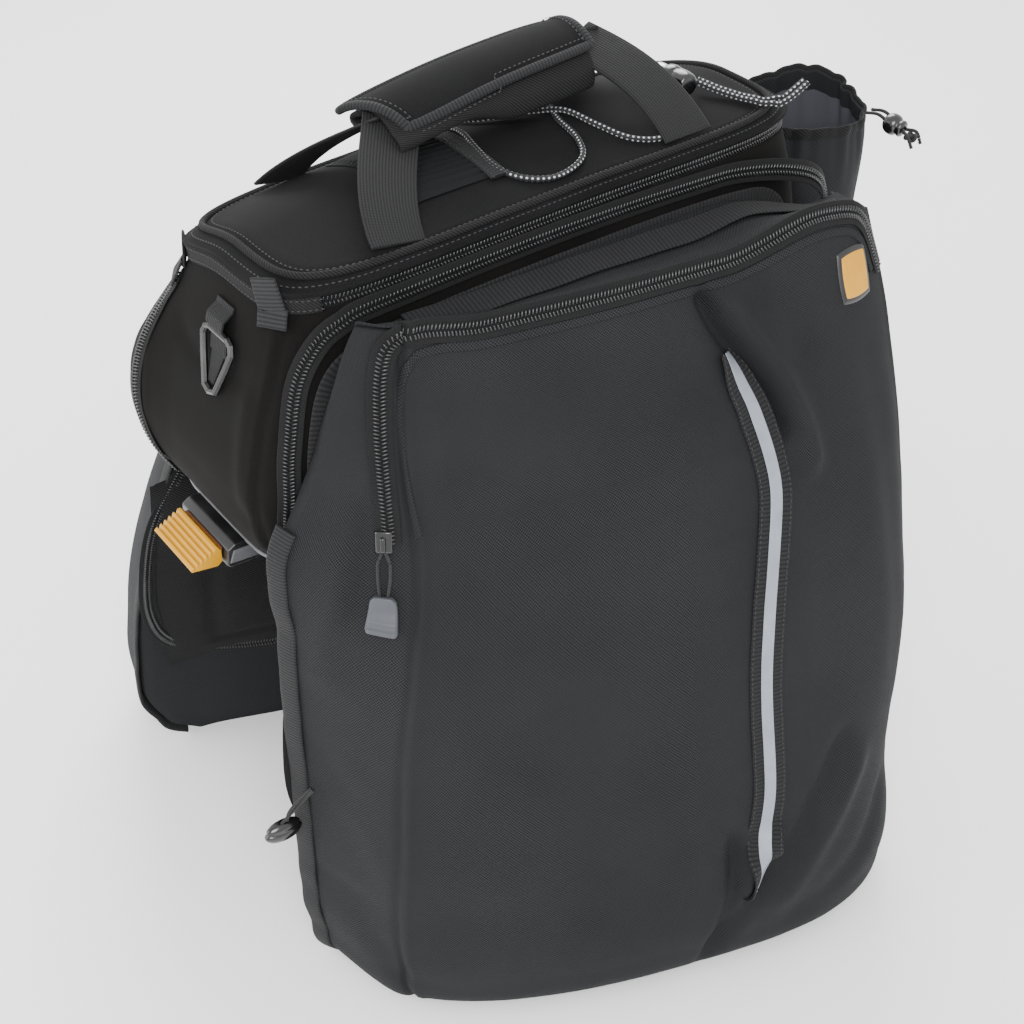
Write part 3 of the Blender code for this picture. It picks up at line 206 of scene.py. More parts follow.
@dataclass(frozen=True)
class Fold:
    """A crease or ridge drawn along a route on a surface.

    Its height is depth * exp(-(d / width)^2), with d the distance to the route, and tapers to nothing over
    the taper's share of the route at both ends.
    """

    route: tuple[tuple[float, float], ...]
    depth: float
    width: float
    taper: float = 0.2

    def height(self, a: Array, b: Array) -> Array:
        """Height added at each surface coordinate, in metres."""
        path = smooth_route(self.route, 24)
        best = np.full(a.shape, 1e9)
        along = np.zeros(a.shape)
        for step, (start, end) in enumerate(zip(path, path[1:])):
            run = end - start
            length = float(np.dot(run, run)) + 1e-12
            share = np.clip(((a - start[0]) * run[0] + (b - start[1]) * run[1]) / length, 0.0, 1.0)
            distance = np.hypot(a - start[0] - share * run[0], b - start[1] - share * run[1])
            closer = distance < best
            best = np.where(closer, distance, best)
            along = np.where(closer, (step + share) / (len(path) - 1), along)
        ends = ease(along, 0.0, self.taper) * ease(1.0 - along, 0.0, self.taper)
        return self.depth * ends * bump(best, self.width)


# Meshes


def fill_mesh(name: str, points: Array, faces: Array, uv: Array | None, smooth: bool = True) -> bpy.types.Object:
    """Make a mesh object from arrays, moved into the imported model's frame.

    Args:
        name: Name of the piece.
        points: Vertices, n by 3, in the trunk's frame.
        faces: Vertex numbers, m by 3 or m by 4.
        uv: One coordinate pair for each face corner, in metres, or None.
        smooth: Whether the faces are shaded smooth.

    Returns:
        The new object, linked to the scene.
    """
    mesh = bpy.data.meshes.new(name)
    corners = faces.shape[1]
    mesh.vertices.add(len(points))
    mesh.vertices.foreach_set("co", (points + ORIGIN).astype(np.float32).ravel())
    mesh.loops.add(faces.size)
    mesh.loops.foreach_set("vertex_index", faces.astype(np.int32).ravel())
    mesh.polygons.add(len(faces))
    mesh.polygons.foreach_set("loop_start", np.arange(0, faces.size, corners, dtype=np.int32))
    mesh.polygons.foreach_set("use_smooth", np.full(len(faces), smooth))
    if uv is not None:
        layer = mesh.uv_layers.new(name="UVMap")
        layer.data.foreach_set("uv", uv.astype(np.float32).ravel())
    mesh.update(calc_edges=True)
    mesh.validate()
    item = bpy.data.objects.new(name, mesh)
    bpy.context.scene.collection.objects.link(item)
    return item


def grid_faces(rows: int, columns: int, wrap: bool) -> Array:
    """Quads of a rows by columns grid, its columns closed into a loop if wrap is set."""
    across = columns if wrap else columns - 1
    row, col = np.meshgrid(np.arange(rows - 1), np.arange(across), indexing="ij")
    row, col = row.ravel(), col.ravel()
    right = (col + 1) % columns
    return np.stack([row * columns + col, row * columns + right, (row + 1) * columns + right,
                     (row + 1) * columns + col], axis=1)


def grid_uv(points: Array, wrap: bool) -> Array:
    """Coordinates of a grid in metres: mean run along the columns and along the rows."""
    closed = np.concatenate([points, points[:, :1]], axis=1) if wrap else points
    u = np.concatenate([[0.0], np.cumsum(np.linalg.norm(np.diff(closed, axis=1), axis=2).max(axis=0))])
    v = np.concatenate([[0.0], np.cumsum(np.linalg.norm(np.diff(closed, axis=0), axis=2).max(axis=1))])
    return np.stack(np.broadcast_arrays(u[None, :], v[:, None]), axis=-1)


def narrowed(points: Array, share: float) -> Array:
    """Points drawn in towards the z axis by a share."""
    return points * np.array([share, share, 1.0])


def corner_uv(uv: Array) -> Array:
    """Coordinates for each face corner, from those of the grid's points."""
    low_left, low_right = uv[:-1, :-1], uv[:-1, 1:]
    up_right, up_left = uv[1:, 1:], uv[1:, :-1]
    return np.stack([low_left, low_right, up_right, up_left], axis=2).reshape(-1, 2)


def face_turn(points: Array, faces: Array, facing: Array | None) -> Array:
    """Order the corners so that most faces look outward.

    Args:
        points: Vertices.
        faces: Quads.
        facing: Direction the sheet shows, or None for away from the middle.

    Returns:
        The faces, turned round if needed.
    """
    a, b, c, d = (points[faces[:, k]] for k in range(4))
    normal = np.cross(c - a, d - b)
    way = (a + c) / 2 - points.mean(axis=0) if facing is None else np.broadcast_to(facing, normal.shape)
    return faces if float(np.sum(normal * way)) >= 0.0 else faces[:, ::-1]


def cloth_grid(name: str, points: Array, wrap: bool = False, facing: Array | None = None,
               uv: Array | None = None, thickness: float = 0.0) -> bpy.types.Object:
    """Piece made of one grid of points.

    Args:
        name: Name of the piece.
        points: Grid, rows by columns by 3.
        wrap: Whether the columns close into a loop.
        facing: Direction the sheet shows, or None for away from the middle.
        uv: Coordinates of the grid's points in metres, worked out if None.
        thickness: Wall given inward by Solidify, none at 0.

    Returns:
        The new object.
    """
    rows, columns = points.shape[:2]
    faces = grid_faces(rows, columns, wrap)
    pairs = corner_uv(grid_uv(points, wrap) if uv is None else uv).reshape(len(faces), 4, 2)
    flat = points.reshape(-1, 3)
    turned = face_turn(flat, faces, facing)
    if turned is not faces:
        pairs = pairs[:, ::-1]
    item = fill_mesh(name, flat, turned, pairs.reshape(-1, 2))
    if thickness > 0.0:
        wall = item.modifiers.new("wall", "SOLIDIFY")
        wall.thickness = thickness
        wall.offset = -1.0
    return item


def tangent_frame(path: Array, normals: Array, closed: bool = False) -> tuple[Array, Array, Array]:
    """Side, normal and tangent of a path whose surface normals are known."""
    if closed:
        tangent = np.roll(path, -1, axis=0) - np.roll(path, 1, axis=0)
    else:
        tangent = np.gradient(path, axis=0)
    tangent = unit(tangent)
    normals = unit(normals - np.sum(normals * tangent, axis=1, keepdims=True) * tangent)
    return unit(np.cross(tangent, normals)), normals, tangent


def with_ends(rings: Array) -> Array:
    """Rings of a tube with one more at each end, drawn in to its middle."""
    ends = [part.mean(axis=1, keepdims=True) * np.ones_like(part) for part in (rings[:1], rings[-1:])]
    return np.concatenate([ends[0], rings, ends[1]])


def sweep(name: str, path: Array, normals: Array, profile: Array,
          closed: bool = False) -> bpy.types.Object:
    """Carry a closed profile along a path: point = path + side * profile x + normal * profile y.

    Args:
        name: Name of the piece.
        path: Points along the path.
        normals: Surface normal at each point.
        profile: Closed profile, pairs of side and normal offsets in metres.
        closed: Whether the path closes; the ends of an open one are drawn in to their middle.

    Returns:
        The new object.
    """
    side, up, _ = tangent_frame(path, normals, closed)
    rings = path[:, None] + side[:, None] * profile[None, :, :1] + up[:, None] * profile[None, :, 1:]
    rings = np.concatenate([rings, rings[:1]]) if closed else with_ends(rings)
    run = running(rings.mean(axis=1))
    girth = running(np.vstack([profile, profile[:1]]))
    uv = np.stack(np.broadcast_arrays(girth[None, :], run[:, None]), axis=-1)
    rows, columns = rings.shape[:2]
    faces = grid_faces(rows, columns, True)
    flat = rings.reshape(-1, 3)
    a, b, c, d = (flat[faces[:, k]] for k in range(4))
    middle = rings.mean(axis=1)[faces[:, 0] // columns]
    outward = np.sum(np.cross(c - a, d - b) * ((a + c) / 2 - middle))
    pairs = corner_uv(uv).reshape(len(faces), 4, 2)
    if outward < 0.0:
        faces, pairs = faces[:, ::-1], pairs[:, ::-1]
    return fill_mesh(name, flat, faces, pairs.reshape(-1, 2))


def round_profile(width: float, height: float, count: int = 12, power: float = 2.0,
                  lift: float = 0.0) -> Array:
    """Closed superellipse |x|^p + |y|^p = 1 of the given width and height, its underside at lift."""
    angle = np.linspace(0.0, 2.0 * math.pi, count, endpoint=False) + math.pi / count
    x = signed_power(np.cos(angle), 2.0 / power) * width / 2
    y = signed_power(np.sin(angle), 2.0 / power) * height / 2
    return np.stack([x, y + height / 2 + lift], axis=1)


def surface_normal(place: Surface, a: Array, b: Array, facing: Array, step: float = 4e-4) -> Array:
    """Unit normals of a surface by central differences, turned to the side that facing shows."""
    normal = unit(np.cross(place(a + step, b) - place(a - step, b), place(a, b + step) - place(a, b - step)))
    turn = np.sign(np.sum(normal * facing, axis=-1, keepdims=True))
    return normal * np.where(turn == 0.0, 1.0, turn)


class Tape(NamedTuple):
    """Section of a flat band: its size in metres and the power of its superellipse."""

    width: float
    thickness: float
    power: float = 5.0


@dataclass
class Trail:
    """A route on a surface: its points and the surface normals there."""

    points: Array
    normals: Array
    closed: bool = False

    @classmethod
    def on(cls, place: Surface, route: Sequence[Sequence[float]], count: int, facing: Array,
           lift: float = 0.0) -> "Trail":
        """Lay a route of surface coordinates on a surface.

        Args:
            place: Surface as a function of two coordinates.
            route: Surface coordinates of the route's corners.
            count: Number of points wanted.
            facing: Direction the surface shows.
            lift: Height above the surface.

        Returns:
            The trail, its points evenly spaced.
        """
        path = smooth_route(route, 6 * count)
        points = place(path[:, 0], path[:, 1])
        run = running(points)
        at = np.linspace(0.0, run[-1], count)
        a, b = np.interp(at, run, path[:, 0]), np.interp(at, run, path[:, 1])
        normals = surface_normal(place, a, b, facing)
        return cls(place(a, b) + normals * lift, normals)

    @property
    def length(self) -> float:
        """Run of the trail in metres."""
        return path_length(self.points)

    def resampled(self, count: int) -> "Trail":
        """The same trail with another number of points."""
        ring = np.vstack([self.points, self.points[:1]]) if self.closed else self.points
        rise = np.vstack([self.normals, self.normals[:1]]) if self.closed else self.normals
        run = running(ring)
        at = np.linspace(0.0, run[-1], count, endpoint=not self.closed)
        points = np.stack([np.interp(at, run, ring[:, k]) for k in range(3)], axis=1)
        normals = unit(np.stack([np.interp(at, run, rise[:, k]) for k in range(3)], axis=1))
        return Trail(points, normals, self.closed)

    def moved(self, side: float, up: float) -> "Trail":
        """Trail shifted sideways and along its normals."""
        across, normals, _ = tangent_frame(self.points, self.normals, self.closed)
        return Trail(self.points + across * side + normals * up, self.normals, self.closed)

    def band(self, name: str, tape: Tape, lift: float = 0.0) -> bpy.types.Object:
        """Flat band with rounded edges along the trail."""
        profile = round_profile(tape.width, tape.thickness, 14, tape.power, lift)
        return sweep(name, self.points, self.normals, profile, self.closed)


def repeat(name: str, trail: Trail, count: int, verts: Array, faces: Array) -> bpy.types.Object:
    """Copies of a small shape spread along a trail, as one mesh.

    Each vertex is at point + side * x + tangent * y + normal * z.

    Args:
        name: Name of the piece.
        trail: Trail that carries the copies.
        count: Number of copies.
        verts: Vertices of one copy, in metres.
        faces: Quads of one copy.

    Returns:
        The new object.
    """
    dots = trail.resampled(count)
    side, up, along = tangent_frame(dots.points, dots.normals, dots.closed)
    placed = (dots.points[:, None] + side[:, None] * verts[None, :, 0:1]
              + along[:, None] * verts[None, :, 1:2] + up[:, None] * verts[None, :, 2:3])
    shift = np.arange(count)[:, None, None] * len(verts)
    numbers = (faces[None] + shift).reshape(-1, 4)
    uv = np.zeros((numbers.size, 2))
    return fill_mesh(name, placed.reshape(-1, 3), numbers, uv)


def pebble(width: float, length: float, height: float, shift: float = 0.0,
           skew: float = 0.0) -> tuple[Array, Array]:
    """Small rounded block of 26 faces for zip teeth and stitches.

    Args:
        width: Size across the trail.
        length: Size along the trail.
        height: Size along the normal.
        shift: Sideways place of its middle.
        skew: Slant along the trail for each metre across.

    Returns:
        Vertices and quads.
    """
    rings = ((0.0, 1.0, 0.92), (0.55, 0.95, 0.80), (0.92, 0.62, 0.45))
    angle = np.linspace(0.0, 2.0 * math.pi, 8, endpoint=False) + math.pi / 8
    rows = []
    for rise, wide, long in rings:
        x = np.cos(angle) * wide * width / 2 * 1.06
        rows.append(np.stack([x + shift, np.sin(angle) * long * length / 2 + x * skew,
                              np.full(8, rise * height)], axis=1))
    top = rows[-1].mean(axis=0) + np.array([0.0, 0.0, height * 0.08])
    verts = np.vstack(rows + [np.broadcast_to(top, (8, 3))])
    faces = grid_faces(4, 8, True)
    return verts, faces


# Finishes


class Shader:
    """One node material, its values worked out from coordinates by small helpers."""

    def __init__(self, name: str) -> None:
        """Start the material with its surface shader."""
        self.material = bpy.data.materials.new(name)
        self.material.use_nodes = True
        self.tree = self.material.node_tree
        self.surface = self.tree.nodes["Principled BSDF"]

    def node(self, kind: str, **settings: object) -> bpy.types.Node:
        """Add a node and set its properties."""
        made = self.tree.nodes.new(kind)
        for key, value in settings.items():
            setattr(made, key, value)
        return made

    def feed(self, node: bpy.types.Node, socket: int | str, value: object) -> None:
        """Link a socket to an input, or set the input's constant."""
        if isinstance(value, bpy.types.NodeSocket):
            self.tree.links.new(value, node.inputs[socket])
        else:
            node.inputs[socket].default_value = value

    def math(self, operation: str, a: object, b: object = 0.0) -> bpy.types.NodeSocket:
        """Result of one Math node."""
        made = self.node("ShaderNodeMath", operation=operation)
        self.feed(made, 0, a)
        self.feed(made, 1, b)
        return made.outputs[0]

    def place(self, kind: str) -> bpy.types.NodeSocket:
        """Coordinates: UV in metres on cloth, or Object."""
        return self.node("ShaderNodeTexCoord").outputs[kind]

    def axes(self, vector: bpy.types.NodeSocket) -> tuple[bpy.types.NodeSocket, ...]:
        """The three parts of a vector."""
        made = self.node("ShaderNodeSeparateXYZ")
        self.feed(made, 0, vector)
        return tuple(made.outputs)

    def wave(self, value: bpy.types.NodeSocket, pitch: float) -> bpy.types.NodeSocket:
        """Sine of a coordinate with the given pitch, from -1 to 1."""
        return self.math("SINE", self.math("MULTIPLY", value, 2.0 * math.pi / pitch))

    def noise(self, vector: bpy.types.NodeSocket, scale: float, detail: float = 3.0) -> bpy.types.NodeSocket:
        """Noise from 0 to 1."""
        made = self.node("ShaderNodeTexNoise")
        self.feed(made, "Vector", vector)
        self.feed(made, "Scale", scale)
        self.feed(made, "Detail", detail)
        return made.outputs["Fac"]

    def span(self, value: bpy.types.NodeSocket, low: float, high: float, to_low: float,
             to_high: float) -> bpy.types.NodeSocket:
        """Map a value from one range to another, clamped."""
        made = self.node("ShaderNodeMapRange")
        for socket, number in enumerate((value, low, high, to_low, to_high)):
            self.feed(made, socket, number)
        return made.outputs[0]

    def mix(self, factor: object, a: object, b: object) -> bpy.types.NodeSocket:
        """Blend of two colours."""
        made = self.node("ShaderNodeMix", data_type="RGBA")
        for socket, value in ((0, factor), (6, a), (7, b)):
            self.feed(made, socket, (*value, 1.0) if isinstance(value, tuple) and len(value) == 3 else value)
        return made.outputs[2]

    def emboss(self, height: bpy.types.NodeSocket, depth: float) -> None:
        """Bump the surface by a height from 0 to 1 times depth."""
        made = self.node("ShaderNodeBump")
        self.feed(made, "Strength", 1.0)
        self.feed(made, "Distance", depth)
        self.feed(made, "Height", height)
        self.feed(self.surface, "Normal", made.outputs[0])

    def finish(self, colour: object, roughness: object, **constants: object) -> bpy.types.Material:
        """Join colour and roughness, and set the shader's other sockets to constants."""
        self.feed(self.surface, "Base Color", (*colour, 1.0) if isinstance(colour, tuple) else colour)
        self.feed(self.surface, "Roughness", roughness)
        for socket, value in constants.items():
            self.surface.inputs[socket.replace("_", " ")].default_value = value
        return self.material


class Finish:
    """Base of every finish: makes its material once."""

    made: dict[str, bpy.types.Material] = {}

    def build(self, name: str) -> bpy.types.Material:
        """Make the material; each finish has its own."""
        raise NotImplementedError

    def material(self) -> bpy.types.Material:
        """The finish's material, made on first use."""
        name = str(getattr(self, "name"))
        if name not in Finish.made:
            Finish.made[name] = self.build(name)
        return Finish.made[name]


@dataclass(frozen=True)
class Weave(Finish):
    """Woven cloth: height is the product of warp and weft sines, blended with a diagonal twill sine."""

    name: str
    dark: tuple[float, float, float]
    light: tuple[float, float, float]
    pitch: float
    twill: float = 0.35
    depth: float = 0.00030
    roughness: float = 0.78
    sheen: float = 0.01
    fleck: float = 0.22

    def build(self, name: str) -> bpy.types.Material:
        """Threads follow the UV map in metres; dust and fading follow Object coordinates."""
        shade = Shader(name)
        u, v, _ = shade.axes(shade.place("UV"))
        basket = shade.math("MULTIPLY", shade.wave(u, self.pitch), shade.wave(v, self.pitch))
        slant = shade.wave(shade.math("ADD", u, v), self.pitch * 1.5)
        weave = shade.math("ADD", shade.math("MULTIPLY", basket, 0.5 * (1.0 - self.twill)),
                           shade.math("MULTIPLY", slant, 0.5 * self.twill))
        thread = shade.math("ADD", weave, 0.5)
        where = shade.place("Object")
        fibre = shade.noise(where, 1400.0, 2.0)
        fade = shade.noise(where, 14.0, 4.0)
        tone = shade.math("ADD", shade.math("MULTIPLY", thread, 1.0 - self.fleck),
                          shade.math("MULTIPLY", fibre, self.fleck))
        tone = shade.math("ADD", tone, shade.math("MULTIPLY", shade.math("SUBTRACT", fade, 0.5), 0.35))
        shade.emboss(shade.math("ADD", thread, shade.math("MULTIPLY", fibre, 0.35)), self.depth)
        rough = shade.span(fade, 0.3, 0.7, self.roughness - 0.06, self.roughness + 0.06)
        return shade.finish(shade.mix(shade.span(tone, 0.1, 0.95, 0.0, 1.0), self.dark, self.light), rough,
                            Sheen_Weight=self.sheen, Sheen_Roughness=0.5, Specular_IOR_Level=0.10)


@dataclass(frozen=True)
class Brushed(Finish):
    """Fine brushed knit over foam: a tight stipple with a soft bloom."""

    name: str
    dark: tuple[float, float, float]
    light: tuple[float, float, float]
    grain: float = 1500.0
    depth: float = 0.00010
    roughness: float = 0.88
    sheen: float = 0.01

    def build(self, name: str) -> bpy.types.Material:
        """Stipple and cloudy wear, both on Object coordinates."""
        shade = Shader(name)
        where = shade.place("Object")
        stipple = shade.noise(where, self.grain, 2.0)
        cloud = shade.noise(where, 22.0, 5.0)
        shade.emboss(stipple, self.depth)
        tone = shade.math("ADD", shade.math("MULTIPLY", stipple, 0.55), shade.math("MULTIPLY", cloud, 0.45))
        rough = shade.span(cloud, 0.3, 0.7, self.roughness - 0.07, self.roughness + 0.05)
        return shade.finish(shade.mix(shade.span(tone, 0.32, 0.68, 0.0, 1.0), self.dark, self.light), rough,
                            Sheen_Weight=self.sheen, Sheen_Roughness=0.6, Specular_IOR_Level=0.07)


@dataclass(frozen=True)
class Ribs(Finish):
    """Ribbed tape or webbing: height is the size of a sine across the ribs, with finer threads along them."""

    name: str
    dark: tuple[float, float, float]
    light: tuple[float, float, float]
    pitch: float
    along: bool = False
    thread: float = 0.0009
    depth: float = 0.00035
    roughness: float = 0.8

    def build(self, name: str) -> bpy.types.Material:
        """Ribs run across the tape, or along it where along is set; u is across and v along."""
        shade = Shader(name)
        u, v, _ = shade.axes(shade.place("UV"))
        first, second = (u, v) if self.along else (v, u)
        rib = shade.math("ABSOLUTE", shade.wave(first, self.pitch * 2.0))
        fine = shade.math("ABSOLUTE", shade.wave(second, self.thread * 2.0))
        where = shade.place("Object")
        fibre = shade.noise(where, 1200.0, 2.0)
        wear = shade.noise(where, 45.0, 4.0)
        height = shade.math("ADD", rib, shade.math("MULTIPLY", fine, 0.30))
        height = shade.math("ADD", height, shade.math("MULTIPLY", fibre, 0.30))
        shade.emboss(height, self.depth)
        tone = shade.math("ADD", shade.math("MULTIPLY", height, 0.5), shade.math("MULTIPLY", wear, 0.35))
        rough = shade.span(wear, 0.3, 0.7, self.roughness - 0.08, self.roughness + 0.08)
        return shade.finish(shade.mix(shade.span(tone, 0.2, 0.95, 0.0, 1.0), self.dark, self.light), rough,
                            Sheen_Weight=0.02, Sheen_Roughness=0.5, Specular_IOR_Level=0.16)


@dataclass(frozen=True)
class Moulded(Finish):
    """Moulded plastic or rubber: fine spark-eroded grain, faint scuffs and a smooth variation of gloss."""

    name: str
    colour: tuple[float, float, float]
    scuff: tuple[float, float, float]
    roughness: float = 0.4
    grain: float = 2200.0
    depth: float = 0.00003
    coat: float = 0.0
    metallic: float = 0.0

    def build(self, name: str) -> bpy.types.Material:
        """Everything follows Object coordinates."""
        shade = Shader(name)
        where = shade.place("Object")
        grain = shade.noise(where, self.grain, 2.0)
        smear = shade.noise(where, 60.0, 5.0)
        shade.emboss(grain, self.depth)
        rough = shade.span(smear, 0.3, 0.7, self.roughness - 0.07, self.roughness + 0.10)
        worn = shade.span(smear, 0.52, 0.78, 0.0, 0.7)
        return shade.finish(shade.mix(worn, self.colour, self.scuff), rough, Coat_Weight=self.coat,
                            Coat_Roughness=0.15, Metallic=self.metallic)


@dataclass(frozen=True)
class Beaded(Finish):
    """Reflective tape: a fine diamond lattice under a clear grey skin."""

    name: str
    dark: tuple[float, float, float]
    light: tuple[float, float, float]
    pitch: float = 0.0016

    def build(self, name: str) -> bpy.types.Material:
        """Lattice is the product of two diagonal sines of the UV map."""
        shade = Shader(name)
        u, v, _ = shade.axes(shade.place("UV"))
        lattice = shade.math("MULTIPLY", shade.wave(shade.math("ADD", u, v), self.pitch),
                             shade.wave(shade.math("SUBTRACT", u, v), self.pitch))
        where = shade.place("Object")
        dust = shade.noise(where, 90.0, 4.0)
        tone = shade.math("ADD", shade.span(lattice, -1.0, 1.0, 0.25, 0.75),
                          shade.math("MULTIPLY", shade.math("SUBTRACT", dust, 0.5), 0.8))
        shade.emboss(shade.span(lattice, -0.3, 0.3, 0.0, 1.0), 0.00004)
        return shade.finish(shade.mix(tone, self.dark, self.light), shade.span(dust, 0.3, 0.7, 0.32, 0.48),
                            Metallic=0.15)


@dataclass(frozen=True)
class Braid(Finish):
    """Braided elastic cord: two helical sets of strands, every few of them a white fleck."""

    name: str
    dark: tuple[float, float, float]
    light: tuple[float, float, float]
    girth: float = 0.0107
    pitch: float = 0.0058
    flecks: float = 0.55

    def build(self, name: str) -> bpy.types.Material:
        """u runs round the cord and v along it; a fleck stands where both helices crest."""
        shade = Shader(name)
        u, v, _ = shade.axes(shade.place("UV"))
        turn = shade.math("MULTIPLY", u, 4.0 * math.pi / self.girth)
        run = shade.math("MULTIPLY", v, 2.0 * math.pi / self.pitch)
        right = shade.math("SINE", shade.math("ADD", turn, run))
        left = shade.math("SINE", shade.math("SUBTRACT", turn, run))
        strand = shade.math("MULTIPLY", right, left)
        fleck = shade.span(strand, self.flecks - 0.12, self.flecks + 0.12, 0.0, 1.0)
        fine = shade.math("ABSOLUTE", shade.wave(shade.math("ADD", u, v), 0.0011))
        where = shade.place("Object")
        fibre = shade.noise(where, 1500.0, 2.0)
        shade.emboss(shade.math("ADD", fine, shade.math("MULTIPLY", fibre, 0.5)), 0.0002)
        base = shade.mix(fibre, self.dark, tuple(2.4 * part for part in self.dark))
        return shade.finish(shade.mix(fleck, base, self.light), shade.span(fibre, 0.3, 0.7, 0.6, 0.8))


PACK_CLOTH = Weave("pannier_cloth", (0.0012, 0.0013, 0.0017), (0.0265, 0.0272, 0.0298), 0.0020, 0.12)
GUSSET_CLOTH = Weave("gusset_cloth", (0.0026, 0.0027, 0.0031), (0.0190, 0.0195, 0.0215), 0.0016)
TWILL_CLOTH = Weave("trunk_twill", (0.0026, 0.0026, 0.0028), (0.0180, 0.0180, 0.0188), 0.0014, 0.75)
SOFT_SHELL = Brushed("end_softshell", (0.0015, 0.0013, 0.0012), (0.0056, 0.0050, 0.0047))
LID_SHELL = Brushed("lid_softshell", (0.0024, 0.0024, 0.0026), (0.0088, 0.0089, 0.0094))
STRETCH_MESH = Weave("stretch_mesh", (0.0026, 0.0027, 0.0030), (0.0130, 0.0133, 0.0145), 0.0011, 0.1, 0.00018)
LINING_CLOTH = Weave("lining", (0.030, 0.031, 0.037), (0.075, 0.078, 0.088), 0.0010, 0.1, 0.00008)
BINDING = Ribs("binding_tape", (0.0024, 0.0024, 0.0026), (0.0200, 0.0203, 0.0215), 0.0021)
KNIT_TAPE = Ribs("knit_tape", (0.0020, 0.0020, 0.0022), (0.0160, 0.0163, 0.0175), 0.0026)
ZIP_TAPE = Ribs("zip_tape", (0.0022, 0.0022, 0.0024), (0.0085, 0.0086, 0.0092), 0.0010, False, 0.0008, 0.00012)
WEBBING = Ribs("webbing", (0.0024, 0.0024, 0.0026), (0.0170, 0.0172, 0.0180), 0.0017, True, 0.0016, 0.0003)
STOP_WEBBING = Ribs("stop_webbing", (0.0024, 0.0024, 0.0026), (0.0210, 0.0214, 0.0225), 0.0022)
ZIP_TEETH = Moulded("zip_teeth", (0.0060, 0.0062, 0.0070), (0.0180, 0.0185, 0.0200), 0.34, coat=0.1)
BLACK_PLASTIC = Moulded("black_plastic", (0.0040, 0.0040, 0.0043), (0.0110, 0.0110, 0.0118), 0.38, coat=0.08)
GLOSS_PLASTIC = Moulded("gloss_plastic", (0.0030, 0.0030, 0.0034), (0.0090, 0.0090, 0.0098), 0.18, coat=0.4)
GREY_PLASTIC = Moulded("grey_plastic", (0.070, 0.071, 0.076), (0.11, 0.11, 0.118), 0.40)
RUBBER = Moulded("pull_rubber", (0.040, 0.043, 0.052), (0.070, 0.074, 0.086), 0.55, 1500.0, 0.00004)
YELLOW_PLASTIC = Moulded("yellow_plastic", (0.50, 0.235, 0.0002), (0.44, 0.20, 0.0002), 0.50)
AMBER_PLASTIC = Moulded("amber_plastic", (0.13, 0.040, 0.006), (0.08, 0.025, 0.005), 0.40)
SILVER_BUTTON = Moulded("silver_button", (0.42, 0.44, 0.48), (0.30, 0.32, 0.35), 0.24, metallic=0.7)
REFLECTOR = Beaded("reflective_tape", (0.15, 0.165, 0.19), (0.27, 0.295, 0.335))
STITCHING = Braid("thread", (0.006, 0.006, 0.007), (0.026, 0.0265, 0.029), 0.002, 0.002)
FLECKED_CORD = Braid("flecked_elastic", (0.0035, 0.0035, 0.0040), (0.50, 0.51, 0.54))
PLAIN_CORD = Braid("plain_cord", (0.0035, 0.0035, 0.0040), (0.024, 0.0245, 0.027), 0.0082, 0.003)


def dress(item: bpy.types.Object, finish: Finish, slot: str, *nodes: str, body: str = BODY) -> bpy.types.Object:
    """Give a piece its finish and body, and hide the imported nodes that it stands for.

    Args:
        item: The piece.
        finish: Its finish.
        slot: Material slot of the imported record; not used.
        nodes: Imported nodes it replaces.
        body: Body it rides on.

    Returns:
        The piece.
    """
    item.data.materials.clear()
    item.data.materials.append(finish.material())
    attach(item, body)
    if nodes:
        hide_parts(*nodes)
    LOG.info("piece %s", item.name)
    return item


def repaint(name: str, finish: Finish) -> None:
    """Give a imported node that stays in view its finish."""
    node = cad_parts[name]
    node.data.materials.clear()
    node.data.materials.append(finish.material())


def node_box(name: str) -> tuple[Array, Array]:
    """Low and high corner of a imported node, in the trunk's frame."""
    low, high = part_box(name)
    return np.array(low) - ORIGIN, np.array(high) - ORIGIN


def lay(name: str, trail: Trail, tape: Tape, finish: Finish, *nodes: str, slot: str = "webbing",
        lift: float = 0.0) -> bpy.types.Object:
    """Lay a band along a trail and dress it."""
    return dress(trail.band(name, tape, lift), finish, slot, *nodes)


def refine(item: bpy.types.Object) -> bpy.types.Object:
    """Add one subdivision of equal viewport and render levels."""
    step = item.modifiers.new("smooth", "SUBSURF")
    step.levels = step.render_levels = 1
    return item


def join(name: str, items: Sequence[bpy.types.Object]) -> bpy.types.Object:
    """Join mesh pieces into the first one and rename it."""
    with bpy.context.temp_override(active_object=items[0], selected_editable_objects=list(items)):
        bpy.ops.object.join()
    items[0].name = name
    items[0].data.name = name
    return items[0]


@dataclass
class Zip:
    """Coil zip laid along a trail: a tape and two rows of teeth with the dark join between them."""

    name: str
    trail: Trail
    width: float = 0.013
    row: float = 0.0030
    pitch: float = 0.0021
    tape_height: float = 0.0008
    proud: float = 0.0012

    def build(self, *nodes: str) -> None:
        """Make and dress the tape and the teeth.

        Args:
            nodes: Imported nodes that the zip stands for.
        """
        lay(self.name + "_tape", self.trail, Tape(self.width, self.tape_height), ZIP_TAPE, *nodes)
        count = max(8, int(self.trail.length / self.pitch))
        rows = []
        for side in (-1, 1):
            verts, faces = pebble(self.row, self.pitch * 0.80, self.proud, side * self.row * 0.56, side * 0.25)
            verts = verts + np.array([0.0, side * self.pitch * 0.25, self.tape_height])
            rows.append(repeat(self.name + "_teeth_" + str(side), self.trail, count, verts, faces))
        dress(join(self.name + "_teeth", rows), ZIP_TEETH, "plastic")


def stitches(name: str, trail: Trail, pitch: float = 0.0034, width: float = 0.0008) -> bpy.types.Object:
    """Row of raised stitches along a trail, each a small rounded block."""
    verts, faces = pebble(width, pitch * 0.72, width * 0.55)
    count = max(4, int(trail.length / pitch))
    return dress(repeat(name, trail, count, verts, faces), STITCHING, "webbing")


